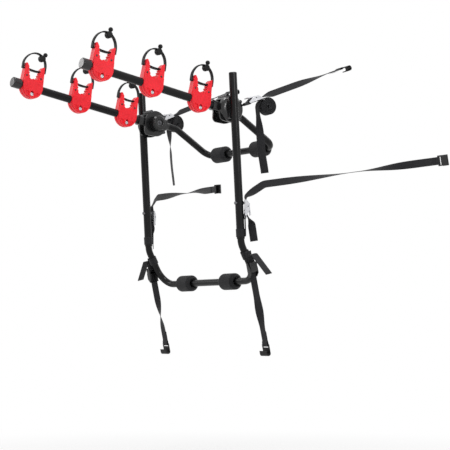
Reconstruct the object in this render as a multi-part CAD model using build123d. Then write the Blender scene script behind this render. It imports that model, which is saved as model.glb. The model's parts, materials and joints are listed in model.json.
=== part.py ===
from build123d import *
import os
from math import cos, radians, sin

os.makedirs("parts", exist_ok=True)

# Trunk mounted bike rack, sizes in millimetres and angles in degrees.
# The origin is the middle of the line where the two lower pads rest on the tailgate.
# +X is to the right, +Y points at the vehicle and +Z is up.

# Layout
leg_spacing = 508.0
foot_drop = 113.2936
hub_setback = 107.0

# Legs, seen from the side they lean with their feet toward the vehicle
leg_diameter = 25.4
leg_lean = 3.5
leg_setback = 7.0
leg_above_hub = 108.0
leg_below_hub = 410.5
leg_cap_height = 3.0
leg_cap_plug = 14.0

# Bent tubes of the lower and the upper frame
frame_tube = 22.0
frame_wall = 1.5
slide_clearance = 0.1
bend_radius = 60.0
lower_insert = 135.0
lower_knee = 15.0
upper_knee_reach = 77.5
upper_knee_angle = -10.0
upper_bar_reach = 214.7
upper_bar_drop = 97.7
upper_corner_radius = 34.0

# Foam pads on both cross tubes
pad_diameter = 53.0
pad_length = 72.0
pad_chamfer = 8.0
pad_groove = 1.0
lower_pad_centre = 117.6
upper_pad_centre = 105.0

# Support arms
arm_diameter = 25.4
arm_wall = 1.6
arm_length = 542.6
arm_rise = 9.4
arm_cap_diameter = 33.5
arm_cap_skirt = 26.5
arm_cap_end = 3.0
cradle_socket_gap = 11.2
cradle_cap_gap = 1.3
cradle_count = 3

# Hub stack, from the upper frame outward to the leg
running_gap = 0.3
fit_clearance = 0.05
boss_width = 22.4
boss_radius = 26.0
cheek_thickness = 5.0
cheek_radius = 43.0
lobe_reach = 54.0
lobe_angle = 222.0
lobe_radius = 15.0
knuckle_width = 27.4
knuckle_radius = 36.0
socket_reach = 62.0
socket_height = 31.0
socket_seat = 30.0
hub_wall = 6.0
slot_top_angle = 138.0
slot_bottom_angle = 296.0
drum_depth = 20.8
drum_dome = 9.0
drum_cap_radius = 26.0
saddle_depth = 8.5
saddle_width = 34.0
saddle_height = 70.0
dish_radius = 30.0
dish_depth = 2.0

# Fasteners
pivot_diameter = 10.0
pivot_head_diameter = 17.0
pivot_head_height = 6.0
pivot_head_clearance = 1.0
pivot_nut_width = 16.0
pivot_nut_height = 7.0
screw_diameter = 4.0
screw_head_diameter = 7.5
screw_head_height = 3.0
screw_bite = 12.0
screw_boss_radius = 5.5
hub_screw_angles = (-38.0, 36.0, 112.0)
leg_screw_spacing = 44.0
leg_screw_diameter = 5.0
leg_screw_head = 9.5
leg_screw_past_wall = 4.0
frame_bolt_diameter = 6.0
frame_bolt_head = 11.0
frame_bolt_head_height = 4.0
frame_bolt_up = 112.0

# Cradles, measured along the arm and up from the arm's axis
cradle_half = 38.0
cradle_top = 73.5
cradle_drop = 37.0
cradle_body_width = 30.0
cradle_plate_width = 20.0
chest_height = 31.0
chest_dip = 7.0
cradle_bevel_angle = 14.0
cradle_slit = 2.4
cradle_bolt_drop = 24.6
cradle_bolt_diameter = 6.0
cradle_bolt_head = 10.0
cradle_bolt_recess = 13.0
cradle_head_depth = 5.6
cradle_head_height = 5.0
cradle_nut_width = 10.0
cradle_nut_height = 5.0
cradle_eye = 6.4
cradle_eye_offset = 26.0
cradle_eye_height = 33.0
cradle_rib_height = 12.0
cradle_rib_width = 3.0
cradle_pocket_depth = 2.5
# Right half of the outline above the arm's axis, as shares of cradle_half and cradle_top
cradle_side_shares = ((1.0, 0.0), (0.92, 0.81), (0.9, 0.97), (0.84, 1.0), (0.74, 0.975), (0.57, 0.85))
cradle_notch_shares = ((0.57, 0.74), (0.48, 0.7), (0.48, 0.61), (0.4, 0.57), (0.4, 0.46), (0.29, 0.41))
cradle_bump_shares = ((0.12, 0.41), (0.0, 0.44))
cradle_pocket_shares = ((0.3, 0.46), (0.66, 0.42), (0.5, 0.72), (0.28, 0.84))

# Rubber strap of a cradle
rubber_thickness = 3.5
rubber_width = 17.0
rubber_loop_radius = 42.0
rubber_loop_centre = 68.0
rubber_band_width = 12.0
rubber_band_height = 56.0
rubber_gap = 0.3
rubber_patch_width = 23.0
rubber_patch_length = 13.0
rubber_knob_radius = 5.5
rubber_knob_stem = 4.0
rubber_knob_reach = 12.0
rubber_pull_radius = 8.0
knob_angle_usual = 103.0
knob_angle_first_left = 125.0

# Webbing, cam buckles and hooks
web_width = 25.0
web_thickness = 1.6
web_gap = 0.3
buckle_length = 50.0
buckle_width = 32.0
buckle_base = 2.5
buckle_wall = 2.4
buckle_height = 15.0
buckle_bar = 6.0
buckle_slot = 5.0
buckle_window = 6.0
buckle_window_at = -8.0
cam_at = 4.0
cam_radius = 5.2
cam_pin_diameter = 4.0
cam_pin_overhang = 0.8
lever_reach = 26.0
lever_thickness = 3.0
lever_tilt = 8.0
cam_groove = 0.8
cam_groove_count = 5
buckle_side_shares = ((-0.5, 0.0), (0.5, 0.0), (0.5, 0.3), (0.26, 1.0), (-0.1, 1.0), (-0.5, 0.36))
hook_width = 34.0
hook_thickness = 3.0
hook_length = 34.0
hook_gape = 14.0
hook_lip = 16.0
hook_bend = 6.0
hook_bar = 5.0
hook_slot = 5.0

# Top straps
top_lug_radius = 54.5
top_lug_angle = 20.0
top_lug_bar = 6.0
top_lug_inset = 17.0
lug_depth = 11.0
lug_rail = 3.0
lug_ear = 3.0
top_link = 10.0
top_hook_at = (300.0, 418.0, 166.0)
top_roll_ahead = 38.0
roll_core = 5.0
roll_pitch = 4.3
roll_half_turns = 11
roll_gap_samples = 24
top_tail_length = 205.0
top_tail_drift = 7.0
top_twist = 55.0
top_twist_share = 0.4

# Side straps
side_ring_up = 18.5
side_bar_up = 75.5
side_turn_up = 15.0
side_corner_up = 75.0
side_corner_out = 61.0
side_turn_radius = 12.0
side_corner_radius = 40.0
side_flat_share = 0.6
side_hook_at = (600.0, 568.0, -156.0)
side_tail_length = 78.0

# Bottom straps
bottom_ring_past_knee = 38.0
bottom_bar_below_ring = 26.0
bottom_hook_at = (0.0, -222.0)
bottom_fold_radius = 8.5
bottom_fold_back = 26.0
bottom_tail_out = 84.0
bottom_tail_down = 17.0
bottom_twist_share = 0.25
tail_rise = 8.2
tail_end_rise = 13.0
strap_twist = 90.0
strap_twist_steps = 6

# Length that lets a cut run clear of the body it cuts
overrun = 5.0

# Places worked out from the sizes above
hub_height = foot_drop + (leg_below_hub + lower_knee) * cos(radians(leg_lean))
first_cradle = socket_reach + cradle_socket_gap + cradle_half
last_cradle = arm_length - arm_cap_skirt - cradle_cap_gap - cradle_half
cradle_pitch = (last_cradle - first_cradle) / (cradle_count - 1)
side_ring_drop = leg_below_hub - side_ring_up
side_bar_drop = leg_below_hub - side_bar_up
hub_y = -hub_setback
leg_x = leg_spacing / 2
drum_outer = leg_x - leg_diameter / 2
drum_inner = drum_outer - drum_depth
knuckle_outer = drum_inner - running_gap
arm_x = knuckle_outer - knuckle_width / 2
top_lug_x = leg_x - top_lug_inset
leg_bore = frame_tube + 2 * slide_clearance
knuckle_inner = arm_x - knuckle_width / 2
cheek_outer = knuckle_inner - running_gap
cheek_inner = cheek_outer - cheek_thickness
boss_outer = cheek_inner - running_gap
boss_inner = boss_outer - boss_width
boss_x = (boss_inner + boss_outer) / 2
leg_down = Vector(0, sin(radians(leg_lean)), -cos(radians(leg_lean)))
leg_at_hub = Vector(leg_x, hub_y - leg_setback, hub_height)
lower_bar = Vector(0, -pad_diameter / 2, 0)
upper_knee = Vector(
    boss_x,
    hub_y + upper_knee_reach * cos(radians(upper_knee_angle)),
    hub_height + upper_knee_reach * sin(radians(upper_knee_angle)),
)
upper_bar = Vector(boss_x, hub_y + upper_bar_reach, hub_height - upper_bar_drop)
web_at = buckle_base + web_gap + web_thickness / 2
cam_height = buckle_base + 2 * web_gap + web_thickness + cam_radius
anchor_at = -buckle_length / 2 + buckle_bar / 2
loop_lift = web_thickness + 3 * web_gap
hub = Vector(0, hub_y, hub_height)


def leg_point(down):
    """The point of the right leg's axis at this distance below the hub's height."""
    return leg_at_hub + leg_down * down


def hub_point(x, y, z):
    """A place given from the middle of the line through both hubs."""
    return Vector(x, hub_y + y, hub_height + z)


def group(*shapes):
    """Separate solids kept together in one node."""
    return Compound(children=[solid for shape in shapes for solid in shape.solids()])


def save(shape, name):
    export_step(shape, f"parts/{name}.step")


def save_pair(shape, name):
    """Write the right-hand piece and its mirror image."""
    save(shape, "right_" + name)
    save(mirror(shape, about=Plane.YZ), "left_" + name)


def rod(start, end, diameter):
    """A round bar between two points."""
    axis = end - start
    return Plane(start, z_dir=axis) * extrude(Circle(diameter / 2), amount=axis.length)


def along_x(x_from, x_to, y, z, diameter):
    """A round bar along X, placed from the hub's axis."""
    return rod(hub_point(x_from, y, z), hub_point(x_to, y, z), diameter)


def pipe(path, diameter, bore):
    """A hollow tube along a path."""
    start = Plane(path @ 0, z_dir=path % 0)
    return sweep(start * (Circle(diameter / 2) - Circle(bore / 2)), path=path)


def sector(radius, angle_from, angle_to, reach):
    """A flat wedge about the local origin that covers the angles between two rays."""
    middle = (angle_from + angle_to) / 2
    rays = [
        reach * radius * Vector(cos(radians(a)), sin(radians(a)), 0) for a in (angle_from, middle, angle_to)
    ]
    return make_face(Polyline(Vector(0, 0, 0), *rays, close=True))


# Side view of a hub: local x is +Y, local y is +Z and the plane's normal is +X
def hub_side(x):
    return Plane(hub_point(x, 0, 0), x_dir=(0, 1, 0), z_dir=(1, 0, 0))


def polar(radius, angle):
    return (radius * cos(radians(angle)), radius * sin(radians(angle)))


# Legs
def make_leg():
    tube = rod(leg_point(-leg_above_hub), leg_point(leg_below_hub), leg_diameter)
    tube -= rod(leg_point(-leg_above_hub - overrun), leg_point(leg_below_hub + overrun), leg_bore)
    tube -= frame_bolt_hole()
    for up in (-leg_screw_spacing / 2, leg_screw_spacing / 2):
        at = leg_point(up)
        hole = rod(Vector(drum_outer - overrun, at.Y, at.Z), at, leg_screw_diameter + 2 * fit_clearance)
        tube -= hole
    return tube


def frame_bolt_axis():
    """Centre and direction of the bolt that pins the lower frame in the right leg."""
    centre = leg_point(leg_below_hub - frame_bolt_up)
    return centre, Vector(0, leg_down.Z, -leg_down.Y)


def frame_bolt_hole():
    centre, way = frame_bolt_axis()
    half = leg_diameter / 2 + overrun
    return rod(centre - way * half, centre + way * half, frame_bolt_diameter + 2 * fit_clearance)


def make_frame_bolt():
    """Round-headed bolt from the outside, with its nut against the back of the leg."""
    centre, way = frame_bolt_axis()
    seat = leg_diameter / 2
    shank = rod(centre - way * (
        seat + frame_bolt_head_height
    ), centre + way * (seat + frame_bolt_head_height), frame_bolt_diameter)
    head_plane = Plane(centre + way * seat, z_dir=way)
    head = head_plane * extrude(Circle(frame_bolt_head / 2), amount=frame_bolt_head_height)
    head = fillet(
        head.edges().group_by(SortBy.LENGTH)[-1].sort_by(Axis(centre, way))[-1:], frame_bolt_head_height / 2
    )
    saddle = rod(leg_point(
        leg_below_hub - frame_bolt_up - frame_bolt_head
    ), leg_point(leg_below_hub - frame_bolt_up + frame_bolt_head), leg_diameter)
    head_foot = head_plane.offset(-seat / 2) * extrude(Circle(frame_bolt_head / 2), amount=seat / 2)
    nut_plane = Plane(centre - way * (seat + frame_bolt_head_height), z_dir=way)
    nut = nut_plane * extrude(
        RegularPolygon(frame_bolt_head / 2, 6), amount=frame_bolt_head_height + seat / 2
    )
    return shank + (head + head_foot + nut - saddle)


def make_leg_cap():
    """Domed plug pushed into the top of a leg."""
    dome = extrude(Circle(leg_diameter / 2), amount=leg_cap_height)
    dome = fillet(dome.edges().sort_by(Axis.Z)[-1:], leg_cap_height * 0.8)
    plug = extrude(Circle(leg_bore / 2 - slide_clearance), amount=-leg_cap_plug)
    return Plane(leg_point(-leg_above_hub), z_dir=-leg_down) * (dome + plug)


# Lower frame, one tube bent at each leg and at each corner
def lower_path_points():
    start = leg_point(leg_below_hub - lower_insert)
    knee = leg_point(leg_below_hub + lower_knee)
    corner = Vector(leg_x, lower_bar.Y, lower_bar.Z)
    right = [start, knee, corner]
    left = [Vector(-p.X, p.Y, p.Z) for p in reversed(right)]
    return right + left


def make_lower_frame():
    path = FilletPolyline(*lower_path_points(), radius=bend_radius)
    tube = pipe(path, frame_tube, frame_tube - 2 * frame_wall)
    hole = frame_bolt_hole()
    return tube - hole - mirror(hole, about=Plane.YZ)


def make_pad(centre):
    """Foam sleeve with chamfered ends and a shallow groove near its outer end."""
    half = pad_length / 2
    radius = pad_diameter / 2
    inner = frame_tube / 2 + slide_clearance
    groove = half - 2 * pad_chamfer
    profile = make_face(
        Polyline(
            (inner, -half),
            (radius - pad_chamfer, -half),
            (radius, -half + pad_chamfer),
            (radius, half - pad_chamfer),
            (radius - pad_chamfer, half),
            (inner, half),
            close=True,
        )
    )
    profile -= Pos(radius, groove) * Circle(pad_groove)
    return Plane(centre, x_dir=(0, 1, 0), z_dir=(1, 0, 0)) * revolve(Plane.XZ * profile, Axis.Z)


# Upper frame, which swings on the two hubs
def upper_spigot_start():
    way = (upper_knee - hub_point(boss_x, 0, 0)).normalized()
    return hub_point(boss_x, 0, 0) + way * (boss_radius + frame_tube * 0.7), way


def make_upper_frame():
    start, way = upper_spigot_start()
    right = [start, upper_knee, upper_bar]
    left = [Vector(-p.X, p.Y, p.Z) for p in reversed(right)]
    radii = [bend_radius, upper_corner_radius, upper_corner_radius, bend_radius]
    return pipe(FilletPolyline(*right, *left, radius=radii), frame_tube, frame_tube - 2 * frame_wall)


def make_upper_hub():
    """Boss on the pivot bolt, with a neck and a spigot inside the upper tube."""
    disc = hub_side(boss_inner) * extrude(Circle(boss_radius), amount=boss_width)
    disc = chamfer(disc.edges().filter_by(GeomType.CIRCLE), cheek_thickness / 4)
    start, way = upper_spigot_start()
    centre = hub_point(boss_x, 0, 0)
    neck = Plane(centre, z_dir=way) * extrude(Circle(frame_tube / 2), amount=(start - centre).length)
    collar = Plane(centre, x_dir=(1, 0, 0), z_dir=way) * extrude(
        RectangleRounded(
            boss_width, boss_radius + frame_tube / 2, cheek_thickness
        ), amount=boss_radius + cheek_thickness
    )
    spigot_radius = frame_tube / 2 - frame_wall - slide_clearance
    spigot = Plane(start, z_dir=way) * extrude(Circle(spigot_radius), amount=frame_tube)
    boss = disc + neck + collar + spigot
    boss -= along_x(boss_inner - overrun, boss_outer + overrun, 0, 0, pivot_diameter + 2 * fit_clearance)
    head_room = pivot_head_diameter + pivot_head_clearance
    boss -= along_x(boss_inner - overrun, boss_inner + pivot_head_height + running_gap, 0, 0, head_room)
    return boss


# Hub shells, fixed to the leg: a cheek with a wall toward the vehicle, and a domed drum
def cheek_outline(lobe):
    """Round cheek with a lobe below the arm's slot, in the side view."""
    x, y = polar(lobe - lobe_radius, lobe_angle)
    tip = Pos(x, y) * Circle(lobe_radius)
    return make_hull((Circle(cheek_radius) + tip).edges())


def hub_screw_places():
    return [polar(cheek_radius, angle) for angle in hub_screw_angles]


def make_hub_inner():
    cheek = hub_side(cheek_inner) * extrude(cheek_outline(lobe_reach), amount=cheek_thickness)
    ring = Circle(cheek_radius) - Circle(cheek_radius - hub_wall)
    wall_shape = ring - sector(cheek_radius, slot_top_angle, slot_bottom_angle, 2)
    for y, z in hub_screw_places():
        boss = Pos(y, z) * Circle(screw_boss_radius)
        cheek += hub_side(cheek_inner) * extrude(boss, amount=cheek_thickness)
        wall_shape += boss - Circle(cheek_radius - hub_wall)
    wall = hub_side(cheek_outer) * extrude(
        wall_shape, amount=knuckle_width + 2 * running_gap - fit_clearance
    )
    shell = cheek + wall
    shell -= along_x(cheek_inner - overrun, cheek_outer + overrun, 0, 0, pivot_diameter + 2 * fit_clearance)
    for y, z in hub_screw_places():
        shell -= along_x(
            cheek_inner - overrun, drum_inner + overrun, y, z, screw_diameter + 2 * fit_clearance
        )
        head_room = screw_head_diameter + 4 * fit_clearance
        shell -= along_x(cheek_inner - overrun, cheek_inner + screw_head_height, y, z, head_room)
    return shell


def make_hub_outer():
    depth = drum_outer - drum_inner
    flat = depth - drum_dome
    profile = make_face(
        Polyline((0, 0), (cheek_radius, 0), (cheek_radius, flat))
        + ThreePointArc(
            (cheek_radius, flat),
            ((cheek_radius + drum_cap_radius) / 2 + drum_dome / 4, flat + 0.72 * drum_dome),
            (drum_cap_radius, depth),
        )
        + Polyline((drum_cap_radius, depth), (0, depth), (0, 0))
    )
    drum = hub_side(drum_inner) * revolve(Plane.XZ * profile, Axis.Z)
    shroud = hub_side(drum_inner) * extrude(cheek_outline(lobe_reach * 0.93), amount=cheek_thickness)
    drum += shroud
    for y, z in hub_screw_places():
        drum += hub_side(drum_inner) * extrude(Pos(y, z) * Circle(screw_boss_radius), amount=flat)
    saddle_plane = Plane(leg_point(0), x_dir=(0, -leg_down.Z, leg_down.Y), z_dir=(1, 0, 0))
    saddle_block = RectangleRounded(saddle_width, saddle_height, hub_wall)
    saddle_from = drum_outer - leg_x - drum_dome
    drum += saddle_plane.offset(saddle_from) * extrude(saddle_block, amount=drum_dome + saddle_depth)
    drum -= rod(leg_point(-saddle_height), leg_point(saddle_height), leg_diameter + 2 * fit_clearance)
    drum -= along_x(drum_inner - overrun, drum_outer + overrun, 0, 0, pivot_diameter + 2 * fit_clearance)
    nut_pocket = RegularPolygon(pivot_nut_width / 2 + 2 * fit_clearance, 6, major_radius=False)
    drum -= hub_side(drum_outer - pivot_nut_height) * extrude(nut_pocket, amount=pivot_nut_height + overrun)
    for y, z in hub_screw_places():
        drum -= along_x(
            drum_inner - overrun, drum_inner + screw_bite, y, z, screw_diameter + 2 * fit_clearance
        )
    for up in (-leg_screw_spacing / 2, leg_screw_spacing / 2):
        y, z = leg_point(up).Y - hub_y, leg_point(up).Z - hub_height
        drum -= along_x(
            drum_inner - overrun, drum_outer + overrun, y, z, leg_screw_diameter + 2 * fit_clearance
        )
        drum -= countersink(y, z, fit_clearance)
    return drum + make_lug()


def lug_plane():
    """Centre of the lug's bar, with local x toward the top strap's hook."""
    y, z = polar(top_lug_radius, top_lug_angle)
    centre = hub_point(top_lug_x, y, z)
    return plane_toward(centre, hub + Vector(*top_hook_at) - centre, Vector(0, 0, 1))


def make_lug():
    """Loop on the drum's side toward the vehicle, whose round bar holds the top strap's link."""
    half = web_width / 2 + web_gap + lug_ear
    bar = extrude(Circle(top_lug_bar / 2), amount=half, both=True)
    plate = Pos(-lug_depth / 2, 0, 0) * Box(lug_depth, top_lug_bar, 2 * half)
    window = Pos((lug_rail - lug_depth) / 2, 0, 0) * Box(
        lug_depth - lug_rail, 2 * top_lug_bar, web_width + 2 * web_gap
    )
    neck_length = top_lug_radius - cheek_radius - lug_depth + 2 * lug_rail + hub_wall
    neck = Pos(
        -lug_depth + lug_rail - neck_length / 2, 0, -half / 3
    ) * Box(neck_length, top_lug_bar, half * 2 / 3)
    return lug_plane() * (bar + (plate - window) + neck)


def countersink(y, z, clearance):
    """Head of a countersunk screw that fixes the drum to the leg."""
    rise = (leg_screw_head - leg_screw_diameter) / 2
    cone = Cone(leg_screw_head / 2 + clearance, leg_screw_diameter / 2 + clearance, rise, align=(
        Align.CENTER, Align.CENTER, Align.MIN
    ))
    return hub_side(drum_inner).shift_origin(hub_point(drum_inner, y, z)) * cone


def make_pivot_bolt():
    head_at = boss_inner + running_gap
    neck_at = boss_inner + pivot_head_height + running_gap
    nut_from = drum_outer - pivot_nut_height + fit_clearance
    head = along_x(head_at, neck_at, 0, 0, pivot_head_diameter)
    head -= hub_side(head_at) * extrude(RegularPolygon(pivot_diameter / 3, 6), amount=pivot_head_height / 2)
    shank = along_x(neck_at, drum_outer - running_gap, 0, 0, pivot_diameter)
    nut = hub_side(nut_from) * extrude(
        RegularPolygon(
            pivot_nut_width / 2, 6, major_radius=False
        ) - Circle(pivot_diameter / 2 + fit_clearance),
        amount=pivot_nut_height - running_gap,
    )
    return group(head + shank, nut)


def make_hub_screws():
    screws = []
    for y, z in hub_screw_places():
        head = along_x(
            cheek_inner + fit_clearance, cheek_inner + screw_head_height, y, z, screw_head_diameter
        )
        screws.append(head + along_x(
            cheek_inner + screw_head_height, drum_inner + screw_bite - fit_clearance, y, z, screw_diameter
        ))
    for up in (-leg_screw_spacing / 2, leg_screw_spacing / 2):
        y, z = leg_point(up).Y - hub_y, leg_point(up).Z - hub_height
        wall_end = drum_outer + (leg_diameter - leg_bore) / 2 + leg_screw_past_wall
        screws.append(countersink(y, z, 0) + along_x(drum_inner, wall_end, y, z, leg_screw_diameter))
    return screws


# Arms: local x runs outward along the arm, local y is up and local z is -X
def arm_plane(x, reach):
    rise = radians(arm_rise)
    return Plane(hub_point(
        x, -reach * cos(rise), reach * sin(rise)
    ), x_dir=(0, -cos(rise), sin(rise)), z_dir=(-1, 0, 0))


def along_arm(x, start, end, diameter):
    return rod(arm_plane(x, start).origin, arm_plane(x, end).origin, diameter)


def make_arm_tube(x):
    return along_arm(x, socket_seat, arm_length, arm_diameter) - along_arm(
        x, socket_seat - overrun, arm_length + overrun, arm_diameter - 2 * arm_wall
    )


def make_knuckle(x):
    """Disc on the pivot bolt and the socket that holds the arm tube."""
    plane = arm_plane(x, 0)
    disc = plane * extrude(Circle(knuckle_radius), amount=knuckle_width / 2, both=True)
    disc = chamfer(disc.edges().filter_by(GeomType.CIRCLE), dish_depth)
    socket = Plane(plane.origin, x_dir=(1, 0, 0), z_dir=plane.x_dir) * extrude(
        RectangleRounded(knuckle_width, socket_height, knuckle_width / 3), amount=socket_reach
    )
    lip = Plane(arm_plane(x, socket_reach - hub_wall).origin, x_dir=(1, 0, 0), z_dir=plane.x_dir) * extrude(
        RectangleRounded(knuckle_width, socket_height + dish_depth, knuckle_width / 3), amount=hub_wall
    )
    body = disc + socket + lip
    for side in (-1, 1):
        dish = plane.offset(side * (knuckle_width / 2 - dish_depth / 2)) * extrude(
            Circle(dish_radius) - Circle(pivot_diameter), amount=side * dish_depth
        )
        body -= dish
    body -= along_arm(x, socket_seat, socket_reach + overrun, arm_diameter + 2 * fit_clearance)
    centre = plane.origin
    half = Vector(knuckle_width / 2 + overrun, 0, 0)
    body -= rod(centre - half, centre + half, pivot_diameter + 2 * fit_clearance)
    return body


def make_arm_cap(x):
    """Plastic cap over the arm's outer end, chamfered at its skirt."""
    start = arm_length - arm_cap_skirt
    end = arm_length + arm_cap_end
    cap = along_arm(x, start, end, arm_cap_diameter)
    rims = cap.edges().filter_by(GeomType.CIRCLE)
    cap = chamfer(rims, arm_cap_end * 0.8)
    return cap - along_arm(x, start - overrun, arm_length + fit_clearance, arm_diameter + 2 * fit_clearance)


# Cradles, drawn in the arm's own plane about the tube's axis
def scaled(shares, half, height, side=1):
    return [(side * a * half, b * height) for a, b in shares]


def cradle_outline():
    right = scaled(cradle_side_shares + cradle_notch_shares + cradle_bump_shares, cradle_half, cradle_top)
    left = [(-x, y) for x, y in reversed(right[:-1])]
    bottom = ThreePointArc((-cradle_half, 0), (0, -cradle_drop), (cradle_half, 0))
    return make_face(Polyline(*right, *left) + bottom)


def cradle_body_outline():
    """The thicker lower body, with its chest line dipping in the middle."""
    edge = cradle_half * (1 - 0.08 * chest_height / (0.81 * cradle_top))
    bottom = ThreePointArc((-cradle_half, 0), (0, -cradle_drop), (cradle_half, 0))
    right = Line((cradle_half, 0), (edge, chest_height))
    top = ThreePointArc((edge, chest_height), (0, chest_height - chest_dip), (-edge, chest_height))
    left = Line((-edge, chest_height), (-cradle_half, 0))
    return make_face(bottom + right + top + left)


def make_cradle():
    plate = extrude(cradle_outline(), amount=cradle_plate_width / 2, both=True)
    bevel_start = cradle_plate_width / 4
    body = extrude(cradle_body_outline(), amount=bevel_start, both=True)
    for side in (-1, 1):
        face = Plane.XY.offset(side * bevel_start) * cradle_body_outline()
        body += extrude(face, amount=side * (
            cradle_body_width / 2 - bevel_start
        ), taper=cradle_bevel_angle, dir=(0, 0, 1))
    cradle = plate + body
    rib_top = cradle_top * 0.41
    rib_base = rib_top - cradle_rib_height
    rib = Pos(0, (rib_top + rib_base) / 2) * Rectangle(cradle_rib_width, cradle_rib_height)
    cradle += extrude(rib, amount=cradle_plate_width / 2 + cradle_rib_width / 2, both=True)
    cradle -= Plane.YZ * extrude(
        Circle(arm_diameter / 2 + fit_clearance), amount=cradle_half + overrun, both=True
    )
    slit_depth = cradle_drop + overrun
    cradle -= Pos(0, -slit_depth / 2, 0) * Box(2 * (cradle_half + overrun), slit_depth, cradle_slit)
    for side in (-1, 1):
        eye = Pos(side * cradle_eye_offset, cradle_eye_height) * Circle(cradle_eye / 2)
        cradle -= extrude(eye, amount=cradle_plate_width, both=True)
        slot_half = (cradle_half - cradle_half * 0.5) / 2 + overrun / 2
        slot = Box(2 * slot_half, rubber_thickness + 2 * rubber_gap, rubber_band_width + 2 * rubber_gap)
        cradle -= Pos(side * (cradle_half * 0.75), rubber_band_height, 0) * slot
        pocket = make_face(
            Polyline(*scaled(cradle_pocket_shares, cradle_half, -cradle_drop, side), close=True)
        )
        for face in (-1, 1):
            depth_from = face * (cradle_body_width / 2 - cradle_pocket_depth)
            cradle -= Plane.XY.offset(depth_from) * extrude(
                pocket, amount=face * (cradle_pocket_depth + overrun), dir=(0, 0, 1)
            )
    bolt = Pos(0, -cradle_bolt_drop)
    cradle -= extrude(
        bolt * Circle(cradle_bolt_diameter / 2 + fit_clearance), amount=cradle_body_width, both=True
    )
    head_floor = cradle_body_width / 2 - cradle_head_depth - cradle_head_height
    head_well = bolt * Circle(cradle_bolt_recess / 2)
    head_well += Pos(0, -cradle_bolt_drop + cradle_bolt_recess * 0.45) * Circle(cradle_bolt_recess * 0.4)
    cradle -= Plane.XY.offset(-head_floor) * extrude(
        head_well, amount=-cradle_body_width / 2, dir=(0, 0, 1)
    )
    nut_well = bolt * RegularPolygon(cradle_nut_width / 2 + 2 * fit_clearance, 6, major_radius=False)
    cradle -= Plane.XY.offset(head_floor) * extrude(nut_well, amount=cradle_body_width / 2, dir=(0, 0, 1))
    return cradle


def make_cradle_bolt():
    """Cap screw with its head toward +X, and its nut."""
    floor = cradle_body_width / 2 - cradle_head_depth - cradle_head_height
    bolt = Pos(0, -cradle_bolt_drop)
    head = Plane.XY.offset(-floor) * extrude(
        bolt * Circle(cradle_bolt_head / 2), amount=-cradle_head_height, dir=(0, 0, 1)
    )
    hex_well = Plane.XY.offset(-floor - cradle_head_height) * extrude(
        bolt * RegularPolygon(cradle_bolt_diameter * 0.45, 6), amount=cradle_head_height / 2, dir=(0, 0, 1)
    )
    shank_end = floor + cradle_nut_height
    shank = Plane.XY.offset(-floor) * extrude(
        bolt * Circle(cradle_bolt_diameter / 2), amount=floor + shank_end, dir=(0, 0, 1)
    )
    ring = RegularPolygon(
        cradle_nut_width / 2, 6, major_radius=False
    ) - Circle(cradle_bolt_diameter / 2 + fit_clearance)
    nut = Plane.XY.offset(floor) * extrude(bolt * ring, amount=cradle_nut_height, dir=(0, 0, 1))
    return group(head + shank - hex_well, nut)


def make_rubber_strap(knob_angle):
    """Closed rubber loop through both horns, with a pull knob on its arch."""
    middle = rubber_loop_radius - rubber_thickness / 2
    foot = rubber_band_height - rubber_thickness / 2
    rise = Line((middle, foot), (middle, rubber_loop_centre))
    arch = ThreePointArc(
        (middle, rubber_loop_centre), (0, rubber_loop_centre + middle), (-middle, rubber_loop_centre)
    )
    fall = Line((-middle, rubber_loop_centre), (-middle, foot))
    start = Plane((middle, foot, 0), x_dir=(0, 0, 1), z_dir=(0, 1, 0))
    strap = sweep(start * Rectangle(rubber_width, rubber_thickness), path=rise + arch + fall)
    strap += Pos(0, rubber_band_height, 0) * Box(2 * middle, rubber_thickness, rubber_band_width)
    for side in (-1, 1):
        patch = Box(rubber_thickness, rubber_patch_length, rubber_patch_width)
        strap += Pos(side * middle, foot + rubber_patch_length / 2, 0) * patch
    x, y = polar(middle - rubber_pull_radius / 2, knob_angle)
    pull = extrude(Circle(rubber_pull_radius), amount=rubber_width / 2, both=True)
    strap += Pos(x, y + rubber_loop_centre, 0) * pull
    knob_at = polar(middle + rubber_knob_reach, knob_angle)
    stem = rod(Vector(x, y, 0), Vector(*knob_at, 0), rubber_knob_stem)
    knob = Pos(*knob_at, 0) * Sphere(rubber_knob_radius)
    return strap + Pos(0, rubber_loop_centre, 0) * (stem + knob)


# Webbing: local x runs along the strap to its hook, local y is the outer face and local z the width
def slot_ring(start, end, inner_radius):
    """A loop of webbing round two bars that lie at start and end on the local x axis."""
    length = end - start
    middle = Pos((start + end) / 2, 0)
    outer = SlotCenterToCenter(length, 2 * (inner_radius + web_thickness))
    ring = middle * (outer - SlotCenterToCenter(length, 2 * inner_radius))
    return extrude(ring, amount=web_width / 2, both=True)


def ribbon(path):
    """Webbing laid along a flat path in the strap's own plane."""
    way = path % 0
    start = Plane(path @ 0, x_dir=(0, 0, 1), z_dir=way)
    return sweep(start * Rectangle(web_width, web_thickness), path=path)


def web_section(plane):
    across = Plane(plane.origin, x_dir=plane.z_dir, z_dir=plane.x_dir)
    return across * Rectangle(web_width, web_thickness)


def twisted_run(start, length, twist):
    """Webbing that runs straight along the plane's x direction while it twists about it."""
    sections = []
    for step in range(strap_twist_steps + 1):
        share = step / strap_twist_steps
        sections.append(web_section(turned(start, length * share, twist * share)))
    return loft(sections, ruled=True)


def turned(plane, distance, twist):
    """The plane moved along its own x direction and twisted about it."""
    width_dir = plane.z_dir.rotate(Axis((0, 0, 0), plane.x_dir), twist)
    return Plane(plane.origin + plane.x_dir * distance, x_dir=plane.x_dir, z_dir=width_dir)


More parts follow.
